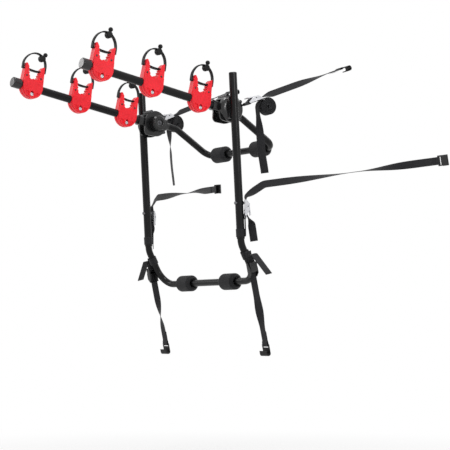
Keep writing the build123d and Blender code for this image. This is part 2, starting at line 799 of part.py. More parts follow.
def make_buckle_body():
    """Folded steel channel with a bar for the anchor loop and a window behind the cam."""
    inside = buckle_width / 2 - buckle_wall
    base = Pos(0, buckle_base / 2, 0) * Box(buckle_length, buckle_base, buckle_width)
    side_shape = make_face(
        Polyline(*[(a * buckle_length, b * buckle_height) for a, b in buckle_side_shares], close=True)
    )
    side_shape -= Pos(cam_at, cam_height) * Circle(cam_pin_diameter / 2 + fit_clearance)
    walls = Plane.XY.offset(inside) * extrude(side_shape, amount=buckle_wall)
    walls += Plane.XY.offset(-inside) * extrude(side_shape, amount=-buckle_wall, dir=(0, 0, 1))
    slot_at = -buckle_length / 2 + buckle_bar + buckle_slot / 2
    opening = web_width + 2 * web_gap
    base -= Pos(slot_at, 0, 0) * Box(buckle_slot, 4 * buckle_base, opening)
    base -= Pos(buckle_window_at, 0, 0) * Box(buckle_window, 4 * buckle_base, opening)
    return base + walls


def make_buckle_lever():
    """Grooved cam on the buckle's pin, with a thumb tab toward the anchor."""
    width = 2 * (buckle_width / 2 - buckle_wall - web_gap)
    cam = Circle(cam_radius) - Circle(cam_pin_diameter / 2 + fit_clearance)
    for step in range(cam_groove_count):
        x, y = polar(cam_radius, 230 + 20 * step)
        cam -= Pos(x, y) * Circle(cam_groove)
    tab = Pos(-lever_reach / 2, cam_radius - lever_thickness / 2) * Rectangle(lever_reach, lever_thickness)
    lip = Pos(-lever_reach, cam_radius - lever_thickness / 2) * Circle(lever_thickness * 0.75)
    shape = cam + (tab + lip).rotate(Axis.Z, -lever_tilt) - Circle(cam_pin_diameter / 2 + fit_clearance)
    return Pos(cam_at, cam_height, 0) * extrude(shape, amount=width / 2, both=True)


def make_buckle_pin():
    half = buckle_width / 2 + cam_pin_overhang
    return Pos(cam_at, cam_height, 0) * extrude(Circle(cam_pin_diameter / 2), amount=half, both=True)


def make_hook():
    """Flat steel hook, bent back on itself; local y is the side that it hooks toward."""
    path = FilletPolyline(
        (0, 0), (hook_length, 0), (hook_length, hook_gape), (
            hook_length - hook_lip, hook_gape
        ), radius=hook_bend
    )
    start = Plane((0, 0, 0), x_dir=(0, 0, 1), z_dir=(1, 0, 0))
    hook = sweep(start * Rectangle(hook_width, hook_thickness), path=path)
    slot = Box(hook_slot, 4 * hook_thickness, web_width + 2 * web_gap)
    return hook - Pos(hook_bar + hook_slot / 2, 0, 0) * slot


def add_end(strap, plane):
    """Add the sewn loop that holds the hook, and say where the hook's own plane is."""
    inner = hook_thickness / 2 + web_gap
    far = hook_bar + 2 * hook_slot
    loop = plane * slot_ring(inner + web_thickness / 2, far, inner)
    return strap + loop, turned(plane, far + inner * 0.4 - hook_bar, 0)


def plane_toward(origin, way, face):
    """A strap's plane: x along the strap, y out of its face."""
    x_dir = way.normalized()
    return Plane(origin, x_dir=x_dir, z_dir=x_dir.cross(face))


def in_plane(plane, x, y):
    return plane.origin + plane.x_dir * x + plane.y_dir * y


def local_to(plane, point):
    offset = point - plane.origin
    return offset.dot(plane.x_dir), offset.dot(plane.y_dir)


def roll_arcs(x, y):
    """Half turns of the rolled webbing, from its outside at the top to its core."""
    arcs = []
    outer = roll_core + (roll_half_turns - 1) * roll_pitch / 2
    for turn in range(roll_half_turns):
        radius = outer - turn * roll_pitch / 2
        centre_y = y - outer - (roll_pitch / 2 if turn % 2 else 0)
        arcs.append(CenterArc((x, centre_y), radius, 90 - 180 * turn, -180))
    return arcs


def least_roll_gap(arcs):
    """Least space between neighbouring turns, measured on points."""
    points = [
        (
            turn, arc @ (step / roll_gap_samples)
        ) for turn, arc in enumerate(arcs) for step in range(roll_gap_samples + 1)
    ]
    gaps = [(p - q).length for turn, p in points for other, q in points if other - turn == 2]
    return min(gaps) - 2 * web_thickness


def top_buckle_plane():
    base = lug_plane()
    to_buckle = top_link - buckle_bar / 2 + buckle_length / 2
    return Plane(in_plane(base, to_buckle, -buckle_base / 2), x_dir=base.x_dir, z_dir=base.z_dir)


def make_top_strap():
    """Link round the hub's lug, and the strap with its spare end rolled up below it."""
    plane = top_buckle_plane()
    link_radius = top_lug_bar / 2 + web_gap
    link = Pos(0, buckle_base / 2, 0) * slot_ring(anchor_at - top_link, anchor_at + web_gap, link_radius)
    front = buckle_length / 2 + overrun
    under = -web_gap - web_thickness / 2
    turn_radius = (web_at - under) / 2 - web_gap / 3
    through = FilletPolyline(
        (front, web_at), (
            buckle_window_at, web_at
        ), (buckle_window_at, under), (top_roll_ahead, under), radius=turn_radius
    )
    arcs = roll_arcs(top_roll_ahead, under - web_thickness / 2)
    outer = roll_core + (roll_half_turns - 1) * roll_pitch / 2
    start = Plane((top_roll_ahead, under - web_thickness / 2, 0), x_dir=(0, 0, 1), z_dir=(1, 0, 0))
    roll = sweep(start * Rectangle(web_width, 2 * web_thickness), path=Wire(arcs))
    down = Vector(0, sin(radians(top_tail_drift)), -cos(radians(top_tail_drift)))
    fall = (down.dot(plane.x_dir) * top_tail_length, down.dot(plane.y_dir) * top_tail_length)
    tail_y = under - web_thickness
    tail_x = top_roll_ahead - outer - 2 * web_thickness
    tail = FilletPolyline(
        (top_roll_ahead, tail_y), (tail_x, tail_y), (tail_x + fall[0], tail_y + fall[1]), radius=outer
    )
    strap = ribbon(through) + roll + ribbon(tail)
    hook_x, _ = local_to(plane, hub + Vector(*top_hook_at))
    run_start = Plane(in_plane(plane, front, web_at), x_dir=plane.x_dir, z_dir=plane.z_dir)
    run = hook_x - front - hook_length
    first = twisted_run(run_start, run * top_twist_share, top_twist)
    second = twisted_run(
        turned(run_start, run * top_twist_share, top_twist), run * (1 - top_twist_share), -top_twist
    )
    strap, hook_plane = add_end(plane * strap + first + second, turned(run_start, run, 0))
    print("least gap in the rolled webbing", round(least_roll_gap(arcs), 3))
    return group(strap, plane * link), plane, turned(hook_plane, 0, 180)


def bar_loop():
    """Webbing loop round a buckle's own bar."""
    inner = buckle_base / 2 + web_gap
    far = anchor_at + buckle_bar / 2 - inner / 2
    return Pos(0, buckle_base / 2, 0) * slot_ring(anchor_at - top_link, far, inner)


def stub_from(start, level):
    """Webbing from the anchor ring up to the loop round the buckle's bar."""
    end = anchor_at - top_link - buckle_base / 2 - web_gap - web_thickness / 2
    return ribbon(Line((start, level), (end, buckle_base / 2)))


def ring_round(start, end, diameter):
    outer = diameter + 2 * (web_gap + web_thickness)
    return rod(start, end, outer) - rod(start, end, diameter + 2 * web_gap)


def side_buckle_plane():
    ring = leg_point(side_ring_drop)
    hook = hub + Vector(*side_hook_at)
    out = Vector(hook.X - ring.X, hook.Y - ring.Y, 0).normalized()
    up = Vector(0, 0, 1)
    centre = Vector(ring.X, ring.Y, hub_height - side_bar_drop - anchor_at)
    base = leg_diameter / 2 + web_gap + web_thickness / 2 - buckle_base / 2
    return plane_toward(centre + out * base, up, out)


def make_side_strap():
    """Webbing loop round the leg, and the strap that turns outward to the side of the vehicle."""
    plane = side_buckle_plane()
    centre = leg_point(side_ring_drop)
    half = leg_down * (web_width / 2)
    stub_start = centre.Z - plane.origin.Z
    anchor = plane * (
        bar_loop() + stub_from(stub_start, buckle_base / 2)
    ) + ring_round(centre - half, centre + half, leg_diameter)
    front = buckle_length / 2 + side_turn_up
    corner = Vector(side_corner_up, side_corner_out)
    hook = Vector(*local_to(plane, hub + Vector(*side_hook_at)))
    way = (hook - corner).normalized()
    run = (hook - corner).length - hook_length
    flat_end = corner + way * (run * side_flat_share)
    path = FilletPolyline(
        (anchor_at - side_tail_length, tail_end_rise),
        (anchor_at, tail_rise),
        (buckle_window_at, web_at),
        (front, web_at),
        (corner.X, corner.Y),
        (flat_end.X, flat_end.Y),
        radius=[side_corner_radius, side_turn_radius, side_turn_radius, side_corner_radius],
    )
    way_out = plane.x_dir * way.X + plane.y_dir * way.Y
    run_start = Plane(in_plane(plane, flat_end.X, flat_end.Y), x_dir=way_out, z_dir=plane.z_dir)
    rest = run * (1 - side_flat_share)
    strap = plane * ribbon(path) + twisted_run(run_start, rest, strap_twist)
    strap, hook_plane = add_end(strap, turned(run_start, rest, strap_twist))
    return group(strap, anchor), plane, hook_plane


def bottom_ring_centre():
    knee = leg_point(leg_below_hub + lower_knee)
    way = (Vector(leg_x, lower_bar.Y, lower_bar.Z) - knee).normalized()
    return knee + way * bottom_ring_past_knee, way


def bottom_buckle_plane():
    centre, _ = bottom_ring_centre()
    hook_y, hook_z = bottom_hook_at
    way = (Vector(leg_x, hook_y, hook_z) - centre).normalized()
    lift = frame_tube / 2 + loop_lift
    reach = bottom_bar_below_ring - anchor_at
    return plane_toward(centre + way * reach + Vector(lift, 0, 0), way, Vector(1, 0, 0))


def make_bottom_strap():
    """Webbing loop round the lower frame, and the strap that runs down to the lower edge."""
    plane = bottom_buckle_plane()
    centre, way = bottom_ring_centre()
    half = way * (web_width / 2)
    ring = ring_round(centre - half, centre + half, frame_tube)
    level = web_gap + web_thickness / 2 - loop_lift
    anchor = plane * (bar_loop() + stub_from(anchor_at - bottom_bar_below_ring, level)) + ring
    front = buckle_length / 2 + overrun
    fold = anchor_at - bottom_fold_back
    path = FilletPolyline(
        (front, web_at),
        (buckle_window_at, web_at),
        (anchor_at, tail_rise),
        (fold, tail_rise + web_thickness),
        (fold, tail_rise + web_thickness + 2.2 * bottom_fold_radius),
        (bottom_tail_down, bottom_tail_out),
        radius=[side_turn_radius, side_turn_radius, bottom_fold_radius, bottom_fold_radius],
    )
    hook_x, _ = local_to(plane, Vector(leg_x, *bottom_hook_at))
    run = hook_x - front - hook_length
    run_start = Plane(in_plane(plane, front, web_at), x_dir=plane.x_dir, z_dir=plane.z_dir)
    straight = run * bottom_twist_share
    strap = plane * ribbon(path) + twisted_run(run_start, straight, 0)
    strap += twisted_run(turned(run_start, straight, 0), run - straight, strap_twist)
    strap, hook_plane = add_end(strap, turned(run_start, run, strap_twist))
    return group(strap, anchor), plane, hook_plane


# Write the frame and its hubs
save_pair(make_leg(), "leg")
save(make_lower_frame(), "lower_frame")
save_pair(make_pad(Vector(lower_pad_centre, lower_bar.Y, lower_bar.Z)), "lower_pad")
leg_cap = make_leg_cap()
save(group(leg_cap, mirror(leg_cap, about=Plane.YZ)), "leg_caps")
save_pair(make_hub_inner(), "hub_inner")
save_pair(make_hub_outer(), "hub_outer")
pivot_bolt = make_pivot_bolt()
save(group(pivot_bolt, mirror(pivot_bolt, about=Plane.YZ)), "pivot_bolts")
hub_screws = make_hub_screws()
save(group(*hub_screws, *[mirror(screw, about=Plane.YZ) for screw in hub_screws]), "hub_screws")
frame_bolt = make_frame_bolt()
save(group(frame_bolt, mirror(frame_bolt, about=Plane.YZ)), "frame_bolts")

# Write the upper frame
save(make_upper_frame(), "upper_frame_tube")
save_pair(make_upper_hub(), "upper_hub")
save_pair(make_pad(Vector(upper_pad_centre, upper_bar.Y, upper_bar.Z)), "upper_pad")

# Write both arms with their cradles
cradle = make_cradle()
cradle_bolt = make_cradle_bolt()
for side, x in (("right", arm_x), ("left", -arm_x)):
    save(make_arm_tube(x), side + "_arm_tube")
    save(make_knuckle(x), side + "_arm_knuckle")
    save(make_arm_cap(x), side + "_arm_cap")
    bolts = []
    for number in range(1, cradle_count + 1):
        # Cradle 1 is the one at the arm's outer end
        place = arm_plane(x, first_cradle + (cradle_count - number) * cradle_pitch).location
        save(place * cradle, f"{side}_cradle_{number}")
        knob_angle = knob_angle_first_left if side == "left" and number == 1 else knob_angle_usual
        save(place * make_rubber_strap(knob_angle), f"{side}_cradle_strap_{number}")
        bolts.append(place * cradle_bolt)
    save(group(*bolts), side + "_cradle_bolts")

# Write the straps with their buckles and hooks
buckle_body = make_buckle_body()
buckle_lever = make_buckle_lever()
buckle_pins = []
for name, (strap, plane, hook_plane) in (
    ("top", make_top_strap()),
    ("side", make_side_strap()),
    ("bottom", make_bottom_strap()),
):
    save_pair(strap, name + "_strap")
    save_pair(plane * buckle_body, name + "_buckle")
    save_pair(plane * buckle_lever, name + "_buckle_lever")
    hook = hook_plane * make_hook()
    save(group(hook, mirror(hook, about=Plane.YZ)), name + "_hooks")
    pin = plane * make_buckle_pin()
    buckle_pins += [pin, mirror(pin, about=Plane.YZ)]
    pivot = in_plane(plane, cam_at, cam_height)
    print(name, "lever pivot", [round(v, 3) for v in pivot], "axis", [round(-v, 5) for v in plane.z_dir])
save(group(*buckle_pins), "buckle_pins")
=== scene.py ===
import bpy
import bmesh
import json
from math import cos, degrees, pi, radians, sin, tan
from mathutils import Matrix, Vector, noise


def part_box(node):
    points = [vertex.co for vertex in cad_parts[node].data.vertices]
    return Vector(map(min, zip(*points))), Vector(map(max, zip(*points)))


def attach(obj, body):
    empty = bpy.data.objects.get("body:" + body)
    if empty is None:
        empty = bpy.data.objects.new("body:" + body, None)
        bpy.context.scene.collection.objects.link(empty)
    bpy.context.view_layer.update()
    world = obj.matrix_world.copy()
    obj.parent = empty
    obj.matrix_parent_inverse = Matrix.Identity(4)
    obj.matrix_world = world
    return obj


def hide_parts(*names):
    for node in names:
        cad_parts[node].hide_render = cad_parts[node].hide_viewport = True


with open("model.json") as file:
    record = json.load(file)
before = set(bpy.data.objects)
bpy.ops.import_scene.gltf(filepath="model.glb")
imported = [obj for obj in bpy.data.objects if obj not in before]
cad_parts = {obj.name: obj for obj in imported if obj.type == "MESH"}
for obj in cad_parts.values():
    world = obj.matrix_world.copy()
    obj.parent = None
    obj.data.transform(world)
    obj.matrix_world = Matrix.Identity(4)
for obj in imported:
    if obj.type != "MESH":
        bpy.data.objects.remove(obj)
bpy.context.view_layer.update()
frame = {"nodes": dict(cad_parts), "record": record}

# Trunk mounted bike rack. Forms are laid out in millimetres, as the solids are, and turned to metres
# where their vertices are made. +X is to the right, +Y points at the vehicle and +Z is up.
nodes = frame["nodes"]
sides = ("left", "right")
numbers = (1, 2, 3)
white = (1.0, 1.0, 1.0, 1.0)
print("stage: frame loaded,", len(nodes), "nodes")


# Colours are written as sRGB hex and turned linear here
def linearHex(code):
    out = []
    for place in (1, 3, 5):
        value = int(code[place:place + 2], 16) / 255
        out.append(value / 12.92 if value <= 0.04045 else ((value + 0.055) / 1.055) ** 2.4)
    return (*out, 1.0)


def addNode(tree, kind, settings=None, links=None, values=None):
    node = tree.nodes.new(kind)
    for name, value in (settings or {}).items():
        setattr(node, name, value)
    for name, value in (values or {}).items():
        node.inputs[name].default_value = value
    for name, source in (links or {}).items():
        tree.links.new(source, node.inputs[name])
    return node


# Each term is a number or another node's output
def addMath(tree, operation, *terms):
    links = {index: term for index, term in enumerate(terms) if not isinstance(term, float)}
    values = {index: term for index, term in enumerate(terms) if isinstance(term, float)}
    return addNode(tree, "ShaderNodeMath", {"operation": operation}, links, values).outputs[0]


def mixShaders(tree, factor, first, second):
    return addNode(tree, "ShaderNodeMixShader", links={0: factor, 1: first, 2: second}).outputs[0]


def objectCoords(tree):
    return addNode(tree, "ShaderNodeTexCoord").outputs["Object"]


def noiseAt(tree, coords, sizeMm, detail=2.0):
    values = {"Scale": 1000 / sizeMm, "Detail": detail}
    return addNode(tree, "ShaderNodeTexNoise", links={"Vector": coords}, values=values).outputs["Fac"]


def newMaterial(look):
    mat = bpy.data.materials.new(look["name"])
    mat.use_nodes = True
    shader = mat.node_tree.nodes["Principled BSDF"]
    shader.inputs["Base Color"].default_value = linearHex(look["base"])
    for name, value in look["shader"].items():
        shader.inputs[name].default_value = value
    return mat, mat.node_tree, shader


# The colour runs between two tones over the given shares of a pattern
def paint(tree, shader, pattern, look):
    ramp = addNode(tree, "ShaderNodeValToRGB", links={"Fac": pattern})
    for index, tone in enumerate(look["tones"]):
        ramp.color_ramp.elements[index].color = linearHex(tone)
        ramp.color_ramp.elements[index].position = look["toneAt"][index]
    tree.links.new(ramp.outputs["Color"], shader.inputs["Base Color"])


def varyRoughness(tree, shader, pattern, between):
    values = {"To Min": between[0], "To Max": between[1]}
    spread = addNode(tree, "ShaderNodeMapRange", links={"Value": pattern}, values=values)
    tree.links.new(spread.outputs["Result"], shader.inputs["Roughness"])


def addBump(tree, shader, height, bump):
    values = {"Strength": bump["strength"], "Distance": bump["metres"]}
    made = addNode(tree, "ShaderNodeBump", links={"Height": height}, values=values)
    tree.links.new(made.outputs["Normal"], shader.inputs["Normal"])


# A moulded, coated or plated surface: tone and roughness drift in patches, under a finer grain if it has one
def makeSurface(look):
    mat, tree, shader = newMaterial(look)
    coords = objectCoords(tree)
    patches = noiseAt(tree, coords, look["patchMm"], look.get("detail", 2.0))
    grain = noiseAt(tree, coords, look["grainMm"]) if "grainMm" in look else patches
    paint(tree, shader, patches, look)
    if "roughness" in look:
        varyRoughness(tree, shader, patches, look["roughness"])
    addBump(tree, shader, grain, look["bump"])
    return mat


# Powder-coated steel tube: satin black, with the faint orange peel of a baked coat
powderCoat = makeSurface({
    "name": "powderCoatedSteel", "base": "#0c0c0d", "tones": ("#0c0c0d", "#131314"), "toneAt": (0.35, 0.7),
    "patchMm": 71.43, "grainMm": 1.6, "roughness": (0.22, 0.32),
    "bump": {"strength": 0.25, "metres": 0.0002}, "shader": {"Roughness": 0.28, "Specular IOR Level": 0.2},
})

# Glass-filled nylon, moulded: near black with a fine spark texture and a soft sheen
nylon = makeSurface({
    "name": "mouldedNylon", "base": "#0f0f10", "tones": ("#0f0f10", "#18181a"), "toneAt": (0.3, 0.75),
    "patchMm": 33.33, "grainMm": 0.9, "roughness": (0.18, 0.28),
    "bump": {"strength": 0.2, "metres": 0.00012}, "shader": {"Roughness": 0.22, "Specular IOR Level": 0.5},
})

# Polypropylene, moulded in red: an even colour, light glowing a little in thin walls, soft sheen
redPlastic = makeSurface({
    "name": "mouldedRedPolypropylene", "base": "#f5202f", "tones": ("#ee1a2a", "#f5202f"),
    "toneAt": (0.3, 0.6), "patchMm": 28.57, "grainMm": 1.2, "roughness": (0.32, 0.44),
    "bump": {"strength": 0.2, "metres": 0.00012},
    "shader": {
        "Roughness": 0.36, "Specular IOR Level": 0.35,
        "Subsurface Weight": 0.12, "Subsurface Scale": 0.004, "Subsurface Radius": (1.0, 0.25, 0.2),
    },
})

# Moulded rubber: dark, dull, dusty in places
rubber = makeSurface({
    "name": "mouldedRubber", "base": "#0d0d0e", "tones": ("#0d0d0e", "#1a1a1b"), "toneAt": (0.4, 0.8),
    "patchMm": 16.67, "grainMm": 0.7, "bump": {"strength": 0.25, "metres": 0.0001},
    "shader": {"Roughness": 0.5, "Specular IOR Level": 0.18},
})

# Zinc-plated, black-passivated steel: a dark metal, brighter where handled
fastenerSteel = makeSurface({
    "name": "blackZincSteel", "base": "#4a4a4d", "tones": ("#4a4a4d", "#7d7d80"), "toneAt": (0.4, 0.75),
    "patchMm": 8.33, "detail": 4.0, "grainMm": 1.43, "roughness": (0.28, 0.5),
    "bump": {"strength": 0.15, "metres": 0.0001}, "shader": {"Roughness": 0.38, "Metallic": 0.9},
})

# Zinc-plated steel: bright, a little blue, clouded by the bath in patches of a few millimetres
zincSteel = makeSurface({
    "name": "zincPlatedSteel", "base": "#cccccf", "tones": ("#b4b5b8", "#cccccf"), "toneAt": (0.35, 0.6),
    "patchMm": 3.0, "detail": 4.0, "roughness": (0.22, 0.42), "bump": {"strength": 0.1, "metres": 0.0001},
    "shader": {"Roughness": 0.3, "Metallic": 1.0},
})

# Steel dipped in black electrocoat: thin, even and glossy, so that the folds still catch the light
blackCoat = makeSurface({
    "name": "electrocoatedSteel", "base": "#101011", "tones": ("#101011", "#1f1f21"), "toneAt": (0.4, 0.7),
    "patchMm": 2.5, "roughness": (0.18, 0.3), "bump": {"strength": 0.1, "metres": 0.0001},
    "shader": {"Roughness": 0.22, "Specular IOR Level": 0.45},
})

# Steel hook dipped in black vinyl: thick soft skin with a broad highlight
vinylDip = makeSurface({
    "name": "vinylDippedSteel", "base": "#0f0f10", "tones": ("#0f0f10", "#171718"), "toneAt": (0.4, 0.7),
    "patchMm": 14.29, "detail": 3.0, "bump": {"strength": 0.35, "metres": 0.0004},
    "shader": {"Roughness": 0.45, "Specular IOR Level": 0.2, "Coat Weight": 0.05, "Coat Roughness": 0.25},
})

# Polyester sewing thread, bonded: dark grey with a dull lustre
thread = makeSurface({
    "name": "bondedPolyesterThread", "base": "#2a2a2d", "tones": ("#2a2a2d", "#4a4a4f"),
    "toneAt": (0.4, 0.65), "patchMm": 0.6, "bump": {"strength": 0.3, "metres": 0.0001},
    "shader": {"Roughness": 0.5},
})


# Closed-cell foam grip: charcoal with fine open pores cut by the sleeve's skin; the colour darkens into each
# pore as painted shade
def makeFoam():
    look = {
        "name": "closedCellFoam", "base": "#272729", "tones": ("#161618", "#272729"), "toneAt": (0.05, 0.45),
        "poreMm": 1.5, "patchMm": 22.22, "detail": 4.0, "roughness": (0.75, 0.95),
        "bump": {"strength": 0.5, "metres": 0.0004},
        "shader": {
            "Roughness": 0.85, "Specular IOR Level": 0.15, "Sheen Weight": 0.08, "Sheen Roughness": 0.6,
        },
    }
    mat, tree, shader = newMaterial(look)
    coords = objectCoords(tree)
    cells = addNode(
        tree, "ShaderNodeTexVoronoi", {"feature": "F1"}, {"Vector": coords}, {"Scale": 1000 / look["poreMm"]}
    )
    poreShadeAndDepth = cells.outputs["Distance"]
    # Painted shade: the tone is darkest at each pore's centre, where the bump makes the pits deepest
    paint(tree, shader, poreShadeAndDepth, look)
    varyRoughness(tree, shader, noiseAt(tree, coords, look["patchMm"], look["detail"]), look["roughness"])
    addBump(tree, shader, poreShadeAndDepth, look["bump"])
    return mat


# Polypropylene webbing, plain woven: thick weft ribs crossed by fine warp, on the strap's own UV; the colour
# follows the weave's height and a random fibre tone, with painted shade in the hollows and painted highlight
# on the ribs
def makeWebbing():
    look = {
        "name": "wovenPolypropylene", "base": "#151517", "tones": ("#151517", "#27272a"),
        "toneAt": (0.25, 0.8), "weftMm": 1.4, "warpMm": 2.1, "fibreMm": 1.11,
        "bump": {"strength": 0.4, "metres": 0.0003},
        "shader": {
            "Roughness": 0.7, "Specular IOR Level": 0.2, "Sheen Weight": 0.1, "Sheen Roughness": 0.5,
        },
    }
    mat, tree, shader = newMaterial(look)
    strapMm = addNode(tree, "ShaderNodeUVMap", {"uv_map": "strap"}).outputs["UV"]
    split = addNode(tree, "ShaderNodeSeparateXYZ", links={"Vector": strapMm}).outputs
    warp = addMath(tree, "SINE", addMath(tree, "MULTIPLY", split["X"], 2 * pi / look["warpMm"]))
    weft = addMath(tree, "SINE", addMath(tree, "MULTIPLY", split["Y"], 2 * pi / look["weftMm"]))
    fibres = noiseAt(tree, objectCoords(tree), look["fibreMm"])
    height = addMath(tree, "ADD", addMath(tree, "MULTIPLY", warp, weft), fibres)
    span = {"From Min": -1.0, "From Max": 2.0}
    lift = addNode(tree, "ShaderNodeMapRange", links={"Value": height}, values=span).outputs["Result"]
    # Painted shade and highlight: the weave's low places are coloured darker and its raised ribs lighter
    paint(tree, shader, lift, look)
    addBump(tree, shader, lift, look["bump"])
    return mat


foam = makeFoam()
webbing = makeWebbing()
slotMaterials = {
    "frame_steel": powderCoat, "hub_plastic": nylon, "cap_plastic": nylon, "cradle_plastic": redPlastic,
    "cradle_rubber": rubber, "foam": foam, "webbing": webbing, "hook_steel": vinylDip,
    "buckle_steel": zincSteel, "fastener_steel": fastenerSteel,
}
slots = {row["node"]: row["material_slot"] for row in frame["record"]["subparts"]}
for nodeName, slotName in slots.items():
    bright = nodeName.endswith("cradle_bolts")
    nodes[nodeName].data.materials.clear()
    nodes[nodeName].data.materials.append(zincSteel if bright else slotMaterials[slotName])
print("stage: materials")


def bodyOf(nodeName):
    for body, members in frame["record"]["behaviour"]["bodies"].items():
        if nodeName in members:
            return body


def linkedObject(name, data):
    made = bpy.data.objects.new(name, data)
    bpy.context.scene.collection.objects.link(made)
    return made


def newObject(name, mesh, mat):
    mesh.materials.clear()
    mesh.materials.append(mat)
    return linkedObject(name, mesh)


def meshOf(bm, name):
    mesh = bpy.data.meshes.new(name)
    bm.to_mesh(mesh)
    bm.free()
    return mesh


# The object's mesh with its modifiers applied
def evaluatedMesh(made):
    bpy.context.view_layer.update()
    ready = made.evaluated_get(bpy.context.evaluated_depsgraph_get())
    return bpy.data.meshes.new_from_object(ready)


def place(made, body, slotName, *replaced):
    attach(made, body)
    if replaced:
        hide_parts(*replaced)
    return made


# Closes a form and places it as a piece of the part, mirrored where it was laid out for the other side
def addPiece(bm, name, mat, body, slotName, *replaced, mirrored=False):
    if mirrored:
        for vert in bm.verts:
            vert.co.x = -vert.co.x
    bmesh.ops.recalc_face_normals(bm, faces=bm.faces)
    return place(newObject(name, meshOf(bm, name), mat), body, slotName, *replaced)


def lookAt(made, spot, target):
    made.location = spot
    made.rotation_euler = (Vector(target) - Vector(spot)).to_track_quat("-Z", "Y").to_euler()


# The camera stands where the photograph was taken from, low and to the right
def addCamera():
    view = {
        "spot": (3.8497, -2.8938, -0.1591), "ahead": (-0.793, 0.6049, 0.0723), "lens": 117.4, "sensor": 36.0,
    }
    lens = bpy.data.cameras.new("view")
    lens.lens = view["lens"]
    lens.sensor_width = view["sensor"]
    made = linkedObject("view", lens)
    lookAt(made, view["spot"], Vector(view["spot"]) + Vector(view["ahead"]))
    bpy.context.scene.camera = made


# Soft boxes: one above, one to each side, one behind
def addLights():
    aim = (0.0, 0.0, 0.4)
    boxes = (
        {"name": "topBox", "spot": (0.6, -0.9, 3.4), "size": 0.9, "power": 42.0},
        {"name": "leftBox", "spot": (-2.6, -2.6, 1.6), "size": 1.0, "power": 26.0},
        {"name": "rightBox", "spot": (3.0, -0.2, 1.3), "size": 0.8, "power": 24.0},
        {"name": "backBox", "spot": (0.8, 3.2, 2.2), "size": 1.2, "power": 16.0},
    )
    for box in boxes:
        lamp = bpy.data.lights.new(box["name"], "AREA")
        lamp.shape = "SQUARE"
        lamp.size = box["size"]
        lamp.energy = box["power"]
        lookAt(linkedObject(box["name"], lamp), box["spot"], aim)


# The rays that see the background: straight from the camera, by reflection or through something clear
def seenRays(tree):
    rays = addNode(tree, "ShaderNodeLightPath").outputs
    straightOrGlossy = addMath(tree, "MAXIMUM", rays["Is Camera Ray"], rays["Is Glossy Ray"])
    return addMath(tree, "MAXIMUM", straightOrGlossy, rays["Is Transmission Ray"])


# The world lights at a plain level, and shows as white
def addWorld():
    levels = {"lit": 0.5, "shown": 1.0}
    world = bpy.data.worlds.new("studio")
    world.use_nodes = True
    bpy.context.scene.world = world
    tree = world.node_tree
    tree.nodes.clear()
    lit, shown = (
        addNode(tree, "ShaderNodeBackground", values={"Color": white, "Strength": levels[name]}).outputs[0]
        for name in ("lit", "shown")
    )
    addNode(tree, "ShaderNodeOutputWorld", links={"Surface": mixShaders(tree, seenRays(tree), lit, shown)})


# A pale floor well below the rack, which fades into the white background further out
def addFloor():
    look = {
        "name": "paintedFloor", "base": "#f7f7f7", "height": -0.6, "radius": 14.0, "segments": 64,
        "fadeFrom": 0.7, "fadeTo": 2.0, "least": 0.55,
        "shader": {"Roughness": 0.9, "Specular IOR Level": 0.1},
    }
    bm = bmesh.new()
    bmesh.ops.create_circle(bm, cap_ends=True, segments=look["segments"], radius=look["radius"])
    mesh = meshOf(bm, "studioFloor")
    mesh.transform(Matrix.Translation((0, 0, look["height"])))
    mat, tree, shader = newMaterial(look)
    length = addNode(tree, "ShaderNodeVectorMath", {"operation": "LENGTH"}, {0: objectCoords(tree)})
    fade = addNode(
        tree, "ShaderNodeMapRange", {"interpolation_type": "SMOOTHSTEP"}, {"Value": length.outputs["Value"]},
        {"From Min": look["fadeFrom"], "From Max": look["fadeTo"], "To Min": look["least"]},
    )
    share = addMath(tree, "MULTIPLY", fade.outputs["Result"], seenRays(tree))
    glow = addNode(tree, "ShaderNodeEmission", values={"Color": white, "Strength": 1.0})
    mix = mixShaders(tree, share, shader.outputs["BSDF"], glow.outputs["Emission"])
    tree.links.new(mix, tree.nodes["Material Output"].inputs["Surface"])
    newObject("studioFloor", mesh, mat)


addCamera()
addLights()
addWorld()
addFloor()
bpy.context.scene.view_settings.view_transform = "Standard"
print("stage: camera, lights and floor")


# A moulded or pressed part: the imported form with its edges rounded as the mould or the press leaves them
def roundedCopy(nodeName, width, segments, mat, notchPlane=None):
    limits = {"same": 2e-6, "flat": 0.5, "sharp": 28.0}
    name = nodeName + "Rounded"
    bm = bmesh.new()
    bm.from_mesh(nodes[nodeName].data)
    bmesh.ops.remove_doubles(bm, verts=bm.verts, dist=limits["same"])
    bmesh.ops.dissolve_limit(bm, angle_limit=radians(limits["flat"]), verts=bm.verts, edges=bm.edges)
    for face in bm.faces:
        face.smooth = True
    made = newObject(name, meshOf(bm, name), mat)
    if notchPlane:
        cutNotch(made, notchPlane)
    bevel = made.modifiers.new("edge", "BEVEL")
    bevel.width = width
    bevel.segments = segments
    bevel.limit_method = "ANGLE"
    bevel.angle_limit = radians(limits["sharp"])
    shade = made.modifiers.new("shade", "WEIGHTED_NORMAL")
    shade.keep_sharp = True
    return place(made, bodyOf(nodeName), slots[nodeName], nodeName)


# A plane of the part: its origin, the way along it, the way its face looks and the way across
def strapPlane(origin, along, out):
    along = Vector(along).normalized()
    out = Vector(out).normalized()
    return {"origin": Vector(origin), "along": along, "out": out, "across": along.cross(out)}


def onPlane(plane, x, y, z=0.0):
    return plane["origin"] + plane["along"] * x + plane["out"] * y + plane["across"] * z


# An arm's own plane at a cradle: along the arm, up from it and across it
arm = {"x": 206.5, "hub": (-107.0, 538.0), "rise": 9.4, "reach": (476.8, 294.0, 111.2)}


def cradlePlane(side, number):
    slope = radians(arm["rise"])
    reach = arm["reach"][number - 1]
    x = arm["x"] if side == "right" else -arm["x"]
    origin = (x, arm["hub"][0] - reach * cos(slope), arm["hub"][1] + reach * sin(slope))
    return strapPlane(origin, (0, -cos(slope), sin(slope)), (0, sin(slope), cos(slope)))


